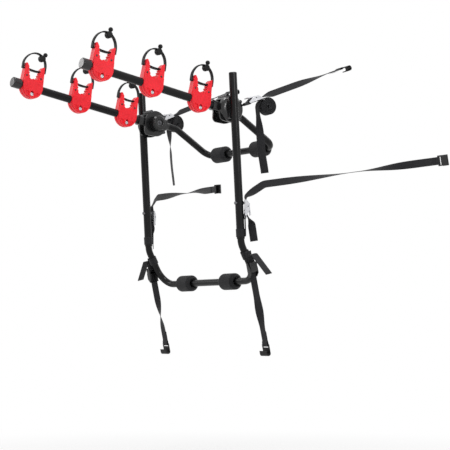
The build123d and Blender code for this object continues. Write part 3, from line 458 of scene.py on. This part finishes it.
# Cuts the toothed notch that grips a bicycle's frame tube deeper into a cradle
def cutNotch(made, plane):
    notch = {
        "half": 24.0,
        "right": [(18.6, 59.0), (18.3, 51.5), (21.8, 47.8), (15.6, 43.4), (19.4, 38.8), (13.4, 33.8),
                  (14.8, 28.6), (9.8, 24.4), (3.8, 24.4)],
        "foot": (0.0, 27.8),
    }
    outline = notch["right"] + [notch["foot"]] + [(-x, y) for x, y in reversed(notch["right"])]
    bm = bmesh.new()
    near, far = (
        [bm.verts.new(onPlane(plane, x, y, z) / 1000) for x, y in outline]
        for z in (-notch["half"], notch["half"])
    )
    bm.faces.new(near)
    bm.faces.new(list(reversed(far)))
    for step in range(len(outline)):
        following = (step + 1) % len(outline)
        bm.faces.new((near[step], far[step], far[following], near[following]))
    bmesh.ops.recalc_face_normals(bm, faces=bm.faces)
    cutter = linkedObject("notchCutter", meshOf(bm, "notchCutter"))
    cut = made.modifiers.new("notch", "BOOLEAN")
    cut.operation = "DIFFERENCE"
    cut.solver = "EXACT"
    cut.object = cutter
    result = evaluatedMesh(made)
    made.modifiers.clear()
    made.data = result
    bpy.data.objects.remove(cutter)


# Width in metres and segments of each kind's rounded edges
roundings = {
    "cradle": (0.0009, 3), "hub_outer": (0.0010, 3), "hub_inner": (0.0008, 2), "upper_hub": (0.0010, 3),
    "arm_knuckle": (0.0010, 3), "arm_cap": (0.0008, 3), "buckle": (0.0003, 2), "buckle_lever": (0.0004, 2),
    "hooks": (0.0005, 2),
}
buckleFinish = {"top": zincSteel, "side": zincSteel, "bottom": blackCoat}
for side in sides:
    for number in numbers:
        roundedCopy(f"{side}_cradle_{number}", *roundings["cradle"], redPlastic, cradlePlane(side, number))
    for part in ("hub_outer", "hub_inner", "upper_hub", "arm_knuckle", "arm_cap"):
        roundedCopy(f"{side}_{part}", *roundings[part], nylon)
    for strap, finish in buckleFinish.items():
        for part in ("buckle", "buckle_lever"):
            roundedCopy(f"{side}_{strap}_{part}", *roundings[part], finish)
for strap in buckleFinish:
    roundedCopy(f"{strap}_hooks", *roundings["hooks"], vinylDip)
print("stage: moulded and pressed parts")


# Flat paths with their corners rounded
def roundedPath(points, radii, turnStep=12.0):
    points = [Vector(p) for p in points]
    path = [points[0]]
    for index, radius in enumerate(radii, 1):
        corner = points[index]
        back = (points[index - 1] - corner).normalized()
        ahead = (points[index + 1] - corner).normalized()
        half = back.angle(ahead) / 2
        centre = corner + (back + ahead).normalized() * (radius / sin(half))
        first = corner + back * (radius / tan(half)) - centre
        last = corner + ahead * (radius / tan(half)) - centre
        turn = first.angle(last)
        count = max(2, round(degrees(turn) / turnStep))
        for step in range(count + 1):
            share = step / count
            path.append(centre + (first * sin((1 - share) * turn) + last * sin(share * turn)) / sin(turn))
    path.append(points[-1])
    return path


def arcPath(centre, radius, angleFrom, angleTo, count):
    steps = [radians(angleFrom + (angleTo - angleFrom) * step / count) for step in range(count + 1)]
    return [Vector((centre[0] + radius * cos(a), centre[1] + radius * sin(a))) for a in steps]


# Points on a ring, square to the axis
def ringPoints(centre, axis, side, radius, count):
    other = axis.cross(side)
    turns = [2 * pi * step / count for step in range(count)]
    return [centre + (side * cos(a) + other * sin(a)) * radius for a in turns]


def denser(path, longest):
    out = [path[0]]
    for before, after in zip(path, path[1:]):
        count = max(1, round((after - before).length / longest))
        out += [before.lerp(after, step / count) for step in range(1, count + 1)]
    return out


def withoutRepeats(path, least=1e-4):
    out = [path[0]]
    out += [after for before, after in zip(path, path[1:]) if (after - before).length > least]
    return out


# Stations are the points of a path in space, each with the way across the band that is swept along it
def stationsOn(plane, path):
    return [(onPlane(plane, *point), plane["across"]) for point in path]


# The same, with the width turned about the path by what turnAt gives at each point
def turningStations(plane, path, turnAt):
    out = []
    last = len(path) - 1
    for index, (spot, across) in enumerate(stationsOn(plane, path)):
        step = path[min(last, index + 1)] - path[max(0, index - 1)]
        tangent = (plane["along"] * step[0] + plane["out"] * step[1]).normalized()
        out.append((spot, Matrix.Rotation(radians(turnAt(path[index])), 3, tangent) @ across))
    return out


def smoothRise(value):
    share = max(0.0, min(1.0, value))
    return share * share * (3 - 2 * share)


# The long run to the hook, in legs of (length, twist), each starting where the last one ends
def straightRun(start, along, across, legs):
    spacing = {"longest": 6.0, "least": 4}
    out = []
    for length, twist in legs:
        count = max(spacing["least"], round(length / spacing["longest"]))
        for step in range(1, count + 1):
            share = step / count
            turn = Matrix.Rotation(radians(twist * smoothRise(share)), 3, along)
            out.append((start + along * (length * share), turn @ across))
        start, across = out[-1]
    return out, strapPlane(start, along, across.cross(along))


def withoutRepeatStations(stations, least=0.02):
    out = [stations[0]]
    out += [after for before, after in zip(stations, stations[1:]) if (after[0] - before[0]).length > least]
    return out


# Half of the webbing's section, across and through, as shares of its half width and half thickness
webSection = (
    (-1.0, 0.0), (-0.99, 0.55), (-0.955, 0.95), (-0.9, 1.0), (-0.55, 0.86), (0.0, 0.9), (0.55, 0.86),
    (0.9, 1.0), (0.955, 0.95), (0.99, 0.55), (1.0, 0.0),
)
cutEnd = {"width": 0.985, "thickness": 0.55}


# Sweeps a flat section along the stations and gives the mesh a UV map in millimetres
def addBand(bm, stations, width, thickness, section=webSection, closed=False):
    uvLayer = bm.loops.layers.uv.get("strap") or bm.loops.layers.uv.new("strap")
    ring = list(section) + [(x, -y) for x, y in reversed(section[1:-1])]
    count = len(stations)
    rows = []
    run = []
    travelled = 0.0
    for index, (centre, across) in enumerate(stations):
        before = stations[index - 1][0] if index or closed else centre
        after = stations[(index + 1) % count][0] if index + 1 < count or closed else centre
        tangent = (after - before).normalized()
        normal = tangent.cross(across).normalized()
        flat = normal.cross(tangent).normalized()
        if index:
            travelled += (centre - stations[index - 1][0]).length
        atEnd = not closed and index in (0, count - 1)
        deep = thickness / 2 * (cutEnd["thickness"] if atEnd else 1.0)
        wide = width / 2 * (cutEnd["width"] if atEnd else 1.0)
        spots = [centre + flat * (x * wide) + normal * (y * deep) for x, y in ring]
        rows.append([bm.verts.new(spot / 1000) for spot in spots])
        run.append(travelled)
    if closed:
        rows.append(rows[0])
        run.append(travelled + (stations[0][0] - stations[-1][0]).length)
    for start, end, near, far in zip(run, run[1:], rows, rows[1:]):
        for spot in range(len(ring)):
            following = (spot + 1) % len(ring)
            face = bm.faces.new((near[spot], far[spot], far[following], near[following]))
            face.smooth = True
            x, nextX = (ring[at][0] * width / 2 for at in (spot, following))
            for loop, mark in zip(face.loops, ((x, start), (x, end), (nextX, end), (nextX, start))):
                loop[uvLayer].uv = mark
    if not closed:
        for row in (rows[0], list(reversed(rows[-1]))):
            for loop in bm.faces.new(row).loops:
                loop[uvLayer].uv = (0.0, 0.0)


web = {"width": 25.0, "thickness": 1.6, "gap": 0.3, "sewn": 36.0}
seam = {"half": 9.5, "proud": 0.1, "atHook": (-26.0, -5.0), "inner": -4.25}
hookHole = {
    "inner": 1.8, "far": 15.0, "overlap": 30.0, "ramp": 4.5, "join": -1.0, "lap": 0.15, "bend": 9.0,
    "steps": 10, "spacing": 3.0,
}
buckle = {"level": 3.6, "base": 1.25, "anchorAt": -22.0, "link": 10.0, "loopSteps": 8}
strapPlanes = {
    "top": strapPlane(
        (242.1145, -26.0101, 567.2587), (0.15739, 0.91635, 0.36815), (-0.06232, -0.36284, 0.92977)
    ),
    "side": strapPlane((260.6734, -79.4403, 225.0), (0.0, 0.0, 1.0), (0.53175, 0.8469, 0.0)),
    "bottom": strapPlane((267.5, -59.0638, 33.1366), (0.0, 0.22553, -0.97424), (1.0, 0.0, 0.0)),
}


# A racetrack of webbing round two bars, on the strap's own line
def loopPath(start, end, radius):
    level, steps = buckle["base"], buckle["loopSteps"]
    far = arcPath((end, level), radius, 90, -90, steps)
    return withoutRepeats(far + arcPath((start, level), radius, -90, -270, steps))


# The strap's far end: up over the hook's bar, round it, and back under the strap, where it is sewn down
def hookEnd(plane):
    turn = hookHole["inner"] + web["thickness"] / 2
    under = -web["thickness"] - hookHole["lap"]
    far, ramp, bend = hookHole["far"], hookHole["ramp"], hookHole["bend"]
    rise = roundedPath([(0, 0), (ramp, turn), (far, turn)], [bend])[1:]
    back = roundedPath(
        [(far, -turn), (ramp, -turn), (hookHole["join"], under), (-hookHole["overlap"], under)], [bend, bend]
    )
    path = rise + arcPath((far, 0), turn, 90, -90, hookHole["steps"])[1:-1] + back
    return stationsOn(plane, denser(withoutRepeats(path), hookHole["spacing"]))


# A box of stitching with its cross, as open lines just above the webbing
def stitchBox(plane, xFrom, xTo, level):
    half = seam["half"]
    box = [(xFrom, -half), (xTo, -half), (xTo, half), (xFrom, half), (xFrom, -half)]
    lines = [box, [(xFrom, -half), (xTo, half)], [(xFrom, half), (xTo, -half)]]
    return [[onPlane(plane, x, level, z) for x, z in line] for line in lines]


# The same box on both faces of the doubled webbing at a hook
def hookStitches(plane):
    outer = web["thickness"] / 2 + seam["proud"]
    return stitchBox(plane, *seam["atHook"], outer) + stitchBox(plane, *seam["atHook"], seam["inner"])


# Spare webbing folded in two and rolled up below the given level: inward on one layer, outward on the other
def rollPath(roll, level):
    outer = roll["core"] + (roll["halfTurns"] - 1) * roll["pitch"] / 2
    layer = web["thickness"] / 2 + roll["play"]
    turns = []
    for turn in range(roll["halfTurns"]):
        centre = (roll["at"], level - outer - (roll["pitch"] / 2 if turn % 2 else 0))
        turns.append((centre, outer - turn * roll["pitch"] / 2, 90 - 180 * turn))
    inward, outward = [], []
    for centre, radius, angle in turns:
        count = max(roll["leastSteps"], round(radius * roll["stepsPerMm"]))
        inward += arcPath(centre, radius + layer, angle, angle - 180, count)
        outward = arcPath(centre, radius - layer, angle - 180, angle, count) + outward
    centre, radius, angle = turns[-1]
    fold = arcPath((centre[0], centre[1] - radius), layer, -90, -270, roll["foldSteps"])
    return inward + fold + outward, outer


# The spare end below the roll, which hangs in a slight wave
def tailPath(tail, rollAt, level, bend):
    end = (tail["from"] + tail["reach"][0], level + tail["reach"][1])
    corners = [(rollAt, level), (tail["from"], level), end]
    path = denser(roundedPath(corners, [bend], tail["turnStep"]), tail["spacing"])
    still = len(path) * tail["waveFrom"]
    for index, point in enumerate(path):
        share = max(0.0, (index - still) / (len(path) - still))
        point.x += tail["wave"] * sin(share * tail["waves"] * pi) * share
    return path


# The top strap: from its hook through the buckle, into the roll of its own spare length, and down
def makeTopStrap():
    size = {
        "front": 30.0, "window": -8.0, "under": -1.1, "turn": 2.25, "link": 4.1,
        "run": 304.27, "twist": 53.0, "twistShare": 0.14, "heldShare": 0.3,
    }
    roll = {
        "at": 38.0, "core": 5.0, "pitch": 4.3, "halfTurns": 11, "play": 0.04,
        "leastSteps": 8, "stepsPerMm": 0.8, "foldSteps": 6,
    }
    tail = {
        "from": 8.3, "reach": (-58.0, -222.0), "waveFrom": 0.35, "wave": 2.2, "waves": 2.6,
        "turn": -60.0, "turnBelow": 34.0, "turnOver": 85.0, "turnStep": 6.0, "spacing": 8.0,
    }
    plane = strapPlanes["top"]
    first = size["run"] * size["twistShare"]
    held = size["run"] * size["heldShare"]
    back = size["run"] - first - held - web["sewn"]
    run, endPlane = straightRun(
        onPlane(plane, size["front"], buckle["level"]), plane["along"], plane["across"],
        [(first, size["twist"]), (held, 0.0), (back, -size["twist"]), (web["sewn"], 0.0)],
    )
    through = roundedPath(
        [(size["front"], buckle["level"]), (size["window"], buckle["level"]), (size["window"], size["under"]),
         (roll["at"], size["under"])], [size["turn"]] * 2
    )
    rolled, outer = rollPath(roll, size["under"] - web["thickness"] / 2)
    level = size["under"] - web["thickness"]
    turnFrom = level - tail["turnBelow"]

    def tailTurn(point):
        hangs = point[0] < tail["from"] and point[1] < turnFrom
        return tail["turn"] * smoothRise((turnFrom - point[1]) / tail["turnOver"]) if hangs else 0.0

    path = withoutRepeats(through + rolled + tailPath(tail, roll["at"], level, outer))
    toHook = run + hookEnd(endPlane)
    stations = list(reversed(toHook)) + turningStations(plane, path, tailTurn)
    link = loopPath(buckle["anchorAt"] - buckle["link"], buckle["anchorAt"] + web["gap"], size["link"])
    bands = [(withoutRepeatStations(stations), False), (stationsOn(plane, link), True)]
    return bands, hookStitches(endPlane)


# The short anchor: a ring round the tube, a patch sewn on it, and a loop round the buckle's own bar
def anchorBands(plane, size):
    anchor = {
        "loopEnd": -19.775, "loopRadius": 2.35, "back": 10.5, "front": 9.0, "ramp": 6.0, "lift": 0.4,
        "join": 2.0, "bend": 20.0, "seam": (-8.5, 8.0), "ringSteps": 40, "spacing": 4.0,
    }
    axis = Vector(size["ringAxis"]).normalized()
    radius = size["tube"] / 2 + web["gap"] + web["thickness"] / 2
    side = axis.cross(Vector((1, 0, 0))).normalized()
    spots = ringPoints(Vector(size["ringAt"]), axis, side, radius, anchor["ringSteps"])
    ring = [(spot, axis) for spot in spots]
    loopStart = buckle["anchorAt"] - buckle["link"]
    loop = stationsOn(plane, loopPath(loopStart, anchor["loopEnd"], anchor["loopRadius"]))
    patch, high, base = size["patch"], size["patchLevel"] + web["thickness"], buckle["base"]
    path = roundedPath(
        [(patch - anchor["back"], high), (patch + anchor["front"], high),
         (loopStart - anchor["ramp"], base + anchor["lift"]), (loopStart - anchor["join"], base)],
        [anchor["bend"]] * 2,
    )
    sewn = stationsOn(plane, denser(withoutRepeats(path), anchor["spacing"]))
    ends = [patch + end for end in anchor["seam"]]
    stitches = stitchBox(plane, *ends, high + web["thickness"] / 2 + seam["proud"])
    return [(ring, True), (loop, True), (sewn, False)], stitches


# The side strap: up the leg through its buckle, round a corner and out to its hook, turned on edge on its way
def makeSideStrap():
    size = {
        "path": [(-104, 30), (-50, 22), (-25, 8.6), (-8, 3.6), (36, 3.6), (75, 61)],
        "radii": [20, 14, 12, 12, 32], "turnStep": 7.0, "spacing": 9.0,
        "tailTurn": 70.0, "tailFrom": -30.0, "tailOver": 28.0,
        "cornerTurn": 70.0, "cornerFrom": 22.0, "cornerOver": 36.0,
        "hook": (157.0, 638.14), "hookLength": 34.0, "flat": 0.06,
        "legs": [(0.03, 0.0), (0.47, -66.0), (0.02, 0.0), (0.42, -90.0)],
        "tube": 25.4, "ringAt": (254.0, -90.07, 146.73), "ringAxis": (0, 0.061049, -0.998135),
        "patch": -78.3, "patchLevel": buckle["base"],
    }
    plane = strapPlanes["side"]
    corner = Vector(size["path"][-1])
    reach = Vector(size["hook"]) - corner
    run = reach.length - size["hookLength"] - web["sewn"]
    way = reach.normalized()
    flatEnd = corner + way * (run * size["flat"])
    rounded = roundedPath(size["path"] + [flatEnd], size["radii"], size["turnStep"])
    path = denser(withoutRepeats(rounded), size["spacing"])
    along = plane["along"] * way[0] + plane["out"] * way[1]
    outward = Matrix.Rotation(radians(size["cornerTurn"]), 3, along) @ plane["across"]
    legs = [(run * share, twist) for share, twist in size["legs"]] + [(web["sewn"], 0.0)]
    toHook, endPlane = straightRun(onPlane(plane, *flatEnd), along, outward, legs)

    def sideTurn(point):
        tail = size["tailTurn"] * smoothRise((size["tailFrom"] - point[0]) / size["tailOver"])
        return tail + size["cornerTurn"] * smoothRise((point[0] - size["cornerFrom"]) / size["cornerOver"])

    stations = turningStations(plane, path, sideTurn) + toHook + hookEnd(endPlane)
    anchor, stitches = anchorBands(plane, size)
    return [(withoutRepeatStations(stations), False)] + anchor, stitches + hookStitches(endPlane)


# The bottom strap: down from the lower frame, with its spare end folded back over the buckle
def makeBottomStrap():
    size = {
        "path": [(17, 84), (-48, 28.5), (-48, 9.8), (-22, 8.2), (-8, 3.6), (30, 3.6)],
        "radii": [8.5, 8.5, 12, 12], "turnStep": 8.0, "spacing": 8.0,
        "run": 197.88, "straight": 0.25, "twist": 90.0,
        "tube": 24.0, "ringAt": (254.0, -69.89, 79.9), "ringAxis": (0, 0.4772, -0.8788),
        "patch": -48.0, "patchLevel": -1.4,
    }
    plane = strapPlanes["bottom"]
    path = denser(withoutRepeats(roundedPath(size["path"], size["radii"], size["turnStep"])), size["spacing"])
    straight = size["run"] * size["straight"]
    turned = size["run"] - straight - web["sewn"]
    toHook, endPlane = straightRun(
        onPlane(plane, *size["path"][-1]), plane["along"], plane["across"],
        [(straight, 0.0), (turned, size["twist"]), (web["sewn"], 0.0)],
    )
    stations = stationsOn(plane, path) + toHook + hookEnd(endPlane)
    anchor, stitches = anchorBands(plane, size)
    return [(withoutRepeatStations(stations), False)] + anchor, stitches + hookStitches(endPlane)


# Geometry Nodes: a tree that takes lines and named inputs, and gives what is laid along them
def newLineTree(name, inputs, output):
    tree = bpy.data.node_groups.new(name, "GeometryNodeTree")
    tree.interface.new_socket("lines", in_out="INPUT", socket_type="NodeSocketGeometry")
    for key, kind in inputs.items():
        tree.interface.new_socket(key, in_out="INPUT", socket_type=kind)
    tree.interface.new_socket(output, in_out="OUTPUT", socket_type="NodeSocketGeometry")
    given = addNode(tree, "NodeGroupInput").outputs
    curve = addNode(tree, "GeometryNodeMeshToCurve", links={"Mesh": given["lines"]}).outputs["Curve"]
    return tree, given, curve


def endLineTree(tree, geometry, mat, output):
    real = addNode(tree, "GeometryNodeRealizeInstances", links={"Geometry": geometry}).outputs["Geometry"]
    done = addNode(tree, "GeometryNodeSetMaterial", links={"Geometry": real, "Material": mat})
    addNode(tree, "NodeGroupOutput", links={output: done.outputs["Geometry"]})


# One small thread shape at each step along the stitch lines
def makeStitchTree():
    inputs = {key: "NodeSocketFloat" for key in ("pitch", "threadLength", "threadRadius")}
    tree, given, curve = newLineTree("stitchRow", {**inputs, "thread": "NodeSocketMaterial"}, "stitches")
    pitch = {"Curve": curve, "Length": given["pitch"]}
    steps = addNode(tree, "GeometryNodeResampleCurve", {"mode": "LENGTH"}, pitch)
    knot = addNode(tree, "GeometryNodeMeshIcoSphere", values={"Radius": 1.0, "Subdivisions": 1})
    radius = given["threadRadius"]
    halfLength = addMath(tree, "MULTIPLY", given["threadLength"], 0.5)
    shape = addNode(tree, "ShaderNodeCombineXYZ", links={"X": radius, "Y": radius, "Z": halfLength})
    tangent = {"Vector": addNode(tree, "GeometryNodeInputTangent").outputs[0]}
    turn = addNode(tree, "FunctionNodeAlignRotationToVector", {"axis": "Z"}, tangent)
    sewn = addNode(
        tree, "GeometryNodeInstanceOnPoints",
        links={"Points": steps.outputs["Curve"], "Instance": knot.outputs["Mesh"],
               "Rotation": turn.outputs[0], "Scale": shape.outputs[0]},
    )
    endLineTree(tree, sewn.outputs["Instances"], given["thread"], "stitches")
    return tree


# A round bar along every line
def makeBarTree():
    inputs = {"barRadius": "NodeSocketFloat", "finish": "NodeSocketMaterial"}
    tree, given, curve = newLineTree("barRow", inputs, "bars")
    radius = {"Radius": given["barRadius"]}
    ring = addNode(tree, "GeometryNodeCurvePrimitiveCircle", links=radius, values={"Resolution": 8})
    bar = addNode(
        tree, "GeometryNodeCurveToMesh", links={"Curve": curve, "Profile Curve": ring.outputs["Curve"]},
        values={"Fill Caps": True},
    )
    endLineTree(tree, bar.outputs["Mesh"], given["finish"], "bars")
    return tree


# Runs a tree on lines of points and keeps the result as a plain mesh
def meshFromLines(name, tree, lines, mirrored, inputs, mat):
    verts, edges = [], []
    for line in lines:
        first = len(verts)
        verts += [((-p[0] if mirrored else p[0]) / 1000, p[1] / 1000, p[2] / 1000) for p in line]
        edges += [(first + step, first + step + 1) for step in range(len(line) - 1)]
    source = bpy.data.meshes.new(name + "Lines")
    source.from_pydata(verts, edges, [])
    holder = linkedObject(name + "Lines", source)
    laid = holder.modifiers.new("nodes", "NODES")
    laid.node_group = tree
    for item in tree.interface.items_tree:
        if item.in_out == "INPUT" and item.name in inputs:
            laid[item.identifier] = inputs[item.name]
    mesh = evaluatedMesh(holder)
    mesh.name = name
    bpy.data.objects.remove(holder)
    for face in mesh.polygons:
        face.use_smooth = True
    return newObject(name, mesh, mat)


stitchTree = makeStitchTree()
stitch = {"pitch": 0.0028, "threadLength": 0.0024, "threadRadius": 0.00035, "thread": thread}
for strap, (bands, stitches) in (
    ("top", makeTopStrap()), ("side", makeSideStrap()), ("bottom", makeBottomStrap()),
):
    for side in sides:
        name = f"{side}_{strap}"
        mirrored = side == "left"
        bm = bmesh.new()
        for stations, closed in bands:
            addBand(bm, stations, web["width"], web["thickness"], closed=closed)
        addPiece(bm, name + "_webbing", webbing, "frame", "webbing", name + "_strap", mirrored=mirrored)
        sewn = meshFromLines(name + "_stitching", stitchTree, stitches, mirrored, stitch, thread)
        place(sewn, "frame", "webbing")
print("stage: webbing and stitching")


# A turned form: (distance along the axis, radius) pairs, with an end closed where its radius is zero
def addTurned(bm, origin, axis, profile, count):
    axis = Vector(axis).normalized()
    side = axis.orthogonal().normalized()
    rings = []
    for reach, radius in profile:
        centre = Vector(origin) + axis * reach
        spots = ringPoints(centre, axis, side, radius, count) if radius > 0 else [centre]
        rings.append([bm.verts.new(spot / 1000) for spot in spots])
    for before, after in zip(rings, rings[1:]):
        for step in range(count):
            following = (step + 1) % count
            if len(before) == 1:
                corners = (before[0], after[step], after[following])
            elif len(after) == 1:
                corners = (before[step], after[0], before[following])
            else:
                corners = (before[step], after[step], after[following], before[following])
            bm.faces.new(corners).smooth = True


# Foam sleeve: a little crowned, chamfered at both ends, with a hollow round the tube
def makePad(side, height):
    size = {
        "half": [(0, 26.5), (8, 26.5), (16, 26.5), (22, 26.48), (26, 26.42), (27.8, 26.2), (28.9, 25.6),
                 (30.1, 24.5), (33.0, 21.6), (35.0, 19.5), (35.8, 18.4), (36.0, 17.2), (35.6, 16.4),
                 (33.4, 15.4), (31.4, 14.6), (30.6, 13.4), (30.4, 11.1)],
        "lower": (117.6, -26.5, 0.0), "upper": (105.0, 107.7, 440.3), "around": 112,
        "roughMm": 5.0, "rough": 0.1, "fine": 2.7, "fineShare": 0.5, "sink": 0.6,
        "weld": 1e-6,
    }
    x, y, z = size[height]
    centre = (-x if side == "left" else x, y, z)
    profile = [(-reach, radius) for reach, radius in reversed(size["half"][1:])] + size["half"]
    bm = bmesh.new()
    addTurned(bm, centre, (1, 0, 0), profile + profile[:1], size["around"])
    bmesh.ops.remove_doubles(bm, verts=bm.verts, dist=size["weld"])
    bm.normal_update()
    for vert in bm.verts:
        spot = vert.co * (1000 / size["roughMm"])
        lift = noise.noise(spot) + size["fineShare"] * noise.noise(spot * size["fine"]) - size["sink"]
        vert.co += vert.normal * (size["rough"] / 1000 * lift)
    pad = f"{side}_{height}_pad"
    made = addPiece(bm, f"{side}_{height}_foam", foam, bodyOf(pad), "foam", pad)


for side in sides:
    makePad(side, "lower")
    makePad(side, "upper")
print("stage: foam pads")


# Half of the rubber strap's section, with a raised edge to each side
rubberSection = (
    (-1.0, 0.0), (-0.985, 0.6), (-0.94, 0.95), (-0.86, 1.0), (-0.78, 0.8), (-0.4, 0.72), (0.0, 0.72),
    (0.4, 0.72), (0.78, 0.8), (0.86, 1.0), (0.94, 0.95), (0.985, 0.6), (1.0, 0.0),
)


# Rubber strap of a cradle: an arch on two wider feet, a band across the cradle, and a pull with its knob
def makeRubberStrap(side, number):
    arch = {
        "radius": 40.25, "centre": 68.0, "width": 11.5, "thick": 3.8, "steps": 48, "peak": 7.0,
        "peakSpread": 0.9, "foot": 54.25, "footWidth": 19.0, "footSteps": (0.0, 1.2, 4.5, 8.5, 11.0),
        "spreadTop": 3.0, "spreadOver": 6.0,
    }
    band = {"width": 12.0, "thick": 5.0, "height": 56.0, "sag": 1.6, "sagHalf": 3.0, "steps": 6}
    pull = {
        "angle": 103.0, "angleFirstLeft": 125.0, "radius": 10.5, "drumSteps": 32, "knobSteps": 24,
        "drum": [(-8.5, 0), (-8.5, 7.9), (-8.2, 9.3), (-7.2, 10.2), (-5.8, 10.5), (-4.6, 10.0),
                 (-3.4, 10.5), (-1.2, 10.0), (0, 10.5)],
        "neck": [(0, 0), (0, 6.4), (7.35, 6.2), (11.05, 4.4), (12.49, 4.6)], "ballAt": 18.25, "ball": 7.2,
        "domeFrom": -45, "domeStep": 15,
    }
    plane = cradlePlane(side, number)
    angle = radians(pull["angleFirstLeft"] if (side, number) == ("left", 1) else pull["angle"])
    radius, centre = arch["radius"], arch["centre"]
    curve = []
    for step in range(arch["steps"] + 1):
        turn = pi * step / arch["steps"]
        lift = arch["peak"] * max(0.0, cos((turn - angle) * arch["peakSpread"])) ** 2 * sin(turn)
        curve.append(Vector(((radius + lift) * cos(turn), centre + (radius + lift) * sin(turn))))
    feet = [Vector((radius, arch["foot"] + step)) for step in arch["footSteps"]]
    stations = []
    for point in feet + curve + [Vector((-p.x, p.y)) for p in reversed(feet)]:
        spread = smoothRise((centre + arch["spreadTop"] - point.y) / arch["spreadOver"])
        wide = 1 + (arch["footWidth"] / arch["width"] - 1) * spread
        stations.append((onPlane(plane, *point), plane["across"] * wide))
    across = []
    for step in range(-band["steps"], band["steps"] + 1):
        sag = band["sag"] * max(0.0, 1 - (step / band["sagHalf"]) ** 2)
        across.append((radius * step / band["steps"], band["height"] - sag))
    bm = bmesh.new()
    addBand(bm, stations, arch["width"], arch["thick"], rubberSection)
    addBand(bm, stationsOn(plane, across), band["width"], band["thick"], rubberSection)
    outward = plane["along"] * cos(angle) + plane["out"] * sin(angle)
    peak = radius + arch["peak"] * sin(angle)
    pullAt = onPlane(plane, 0, centre) + outward * (peak - pull["radius"] / 2)
    drum = pull["drum"] + [(-reach, wide) for reach, wide in reversed(pull["drum"][:-1])]
    addTurned(bm, pullAt, plane["across"], drum, pull["drumSteps"])
    at, ball = pull["ballAt"], pull["ball"]
    turns = [radians(a) for a in range(pull["domeFrom"], 90, pull["domeStep"])]
    dome = [(at + ball * sin(a), ball * cos(a)) for a in turns]
    addTurned(bm, pullAt, outward, pull["neck"] + dome + [(at + ball, 0)], pull["knobSteps"])
    strap = f"{side}_cradle_strap_{number}"
    addPiece(bm, f"{side}_cradle_rubber_{number}", rubber, side + "_arm", "cradle_rubber", strap)


for side in sides:
    for number in numbers:
        makeRubberStrap(side, number)
print("stage: rubber straps")


# The wide zinc head of the cap screw in each cradle's well, with a socket for the key
def makeScrewHeads(side):
    size = {
        "drop": -24.6, "around": 28,
        "profile": [(6, 0), (6, 5.9), (12.9, 5.9), (14.1, 5.3), (14.6, 4.3), (14.6, 2.7), (12.4, 2.5),
                    (12.4, 0)],
    }
    bm = bmesh.new()
    for number in numbers:
        plane = cradlePlane(side, number)
        addTurned(bm, onPlane(plane, 0, size["drop"]), -plane["across"], size["profile"], size["around"])
    addPiece(bm, side + "_cradle_screw_heads", zincSteel, side + "_arm", "fastener_steel")


# Black push rivets, their domes just proud of the two eyes below each cradle's horns
def makeRivets(side):
    size = {
        "apart": 26.0, "up": 33.0, "around": 20,
        "half": [(9.8, 2.95), (10.3, 2.75), (10.75, 2.2), (11.0, 1.3), (11.1, 0)],
    }
    profile = [(-reach, radius) for reach, radius in reversed(size["half"])] + size["half"]
    bm = bmesh.new()
    for number in numbers:
        plane = cradlePlane(side, number)
        for x in (-size["apart"], size["apart"]):
            addTurned(bm, onPlane(plane, x, size["up"]), plane["across"], profile, size["around"])
    addPiece(bm, side + "_cradle_rivets", nylon, side + "_arm", "cap_plastic")


# The raised ring moulded round each hub bolt, on the face toward the middle of the rack
def makeHubRing(side):
    size = {
        "around": 72, "weld": 1e-6,
        "profile": [(-0.3, 11.6), (2.0, 12.0), (3.0, 12.7), (3.5, 13.8), (3.6, 15.2), (3.6, 20.0),
                    (3.4, 21.4), (2.8, 22.7), (1.7, 23.7), (-0.3, 24.2)],
    }
    low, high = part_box(f"{side}_upper_hub")
    face, inward = (low[0], -1) if side == "right" else (high[0], 1)
    bm = bmesh.new()
    profile = size["profile"] + size["profile"][:1]
    addTurned(bm, (face * 1000, *arm["hub"]), (inward, 0, 0), profile, size["around"])
    bmesh.ops.remove_doubles(bm, verts=bm.verts, dist=size["weld"])
    addPiece(bm, side + "_hub_ring", nylon, bodyOf(f"{side}_upper_hub"), "hub_plastic")


for side in sides:
    makeScrewHeads(side)
    makeRivets(side)
    makeHubRing(side)
print("stage: screw heads, rivets and hub rings")


# Grip ribs on the thumb tab of a cam lever
def makeLeverRibs(side, strap, finish):
    size = {
        "cam": (4.0, 9.9), "tilt": -8.0, "top": 5.25, "from": -15.5, "pitch": -2.6, "count": 4, "half": 10.5,
    }
    inputs = {"barRadius": 0.0006, "finish": finish}
    tilt, y = radians(size["tilt"]), size["top"]
    lines = []
    for index in range(size["count"]):
        x = size["from"] + size["pitch"] * index
        alongStrap = size["cam"][0] + x * cos(tilt) - y * sin(tilt)
        outOfStrap = size["cam"][1] + x * sin(tilt) + y * cos(tilt)
        ends = (-size["half"], size["half"])
        lines.append([onPlane(strapPlanes[strap], alongStrap, outOfStrap, z) for z in ends])
    made = meshFromLines(f"{side}_{strap}_lever_ribs", barTree, lines, side == "left", inputs, finish)
    place(made, f"{side}_{strap}_lever", "buckle_steel")


barTree = makeBarTree()
for strap, finish in buckleFinish.items():
    for side in sides:
        makeLeverRibs(side, strap, finish)
print("stage: lever ribs")
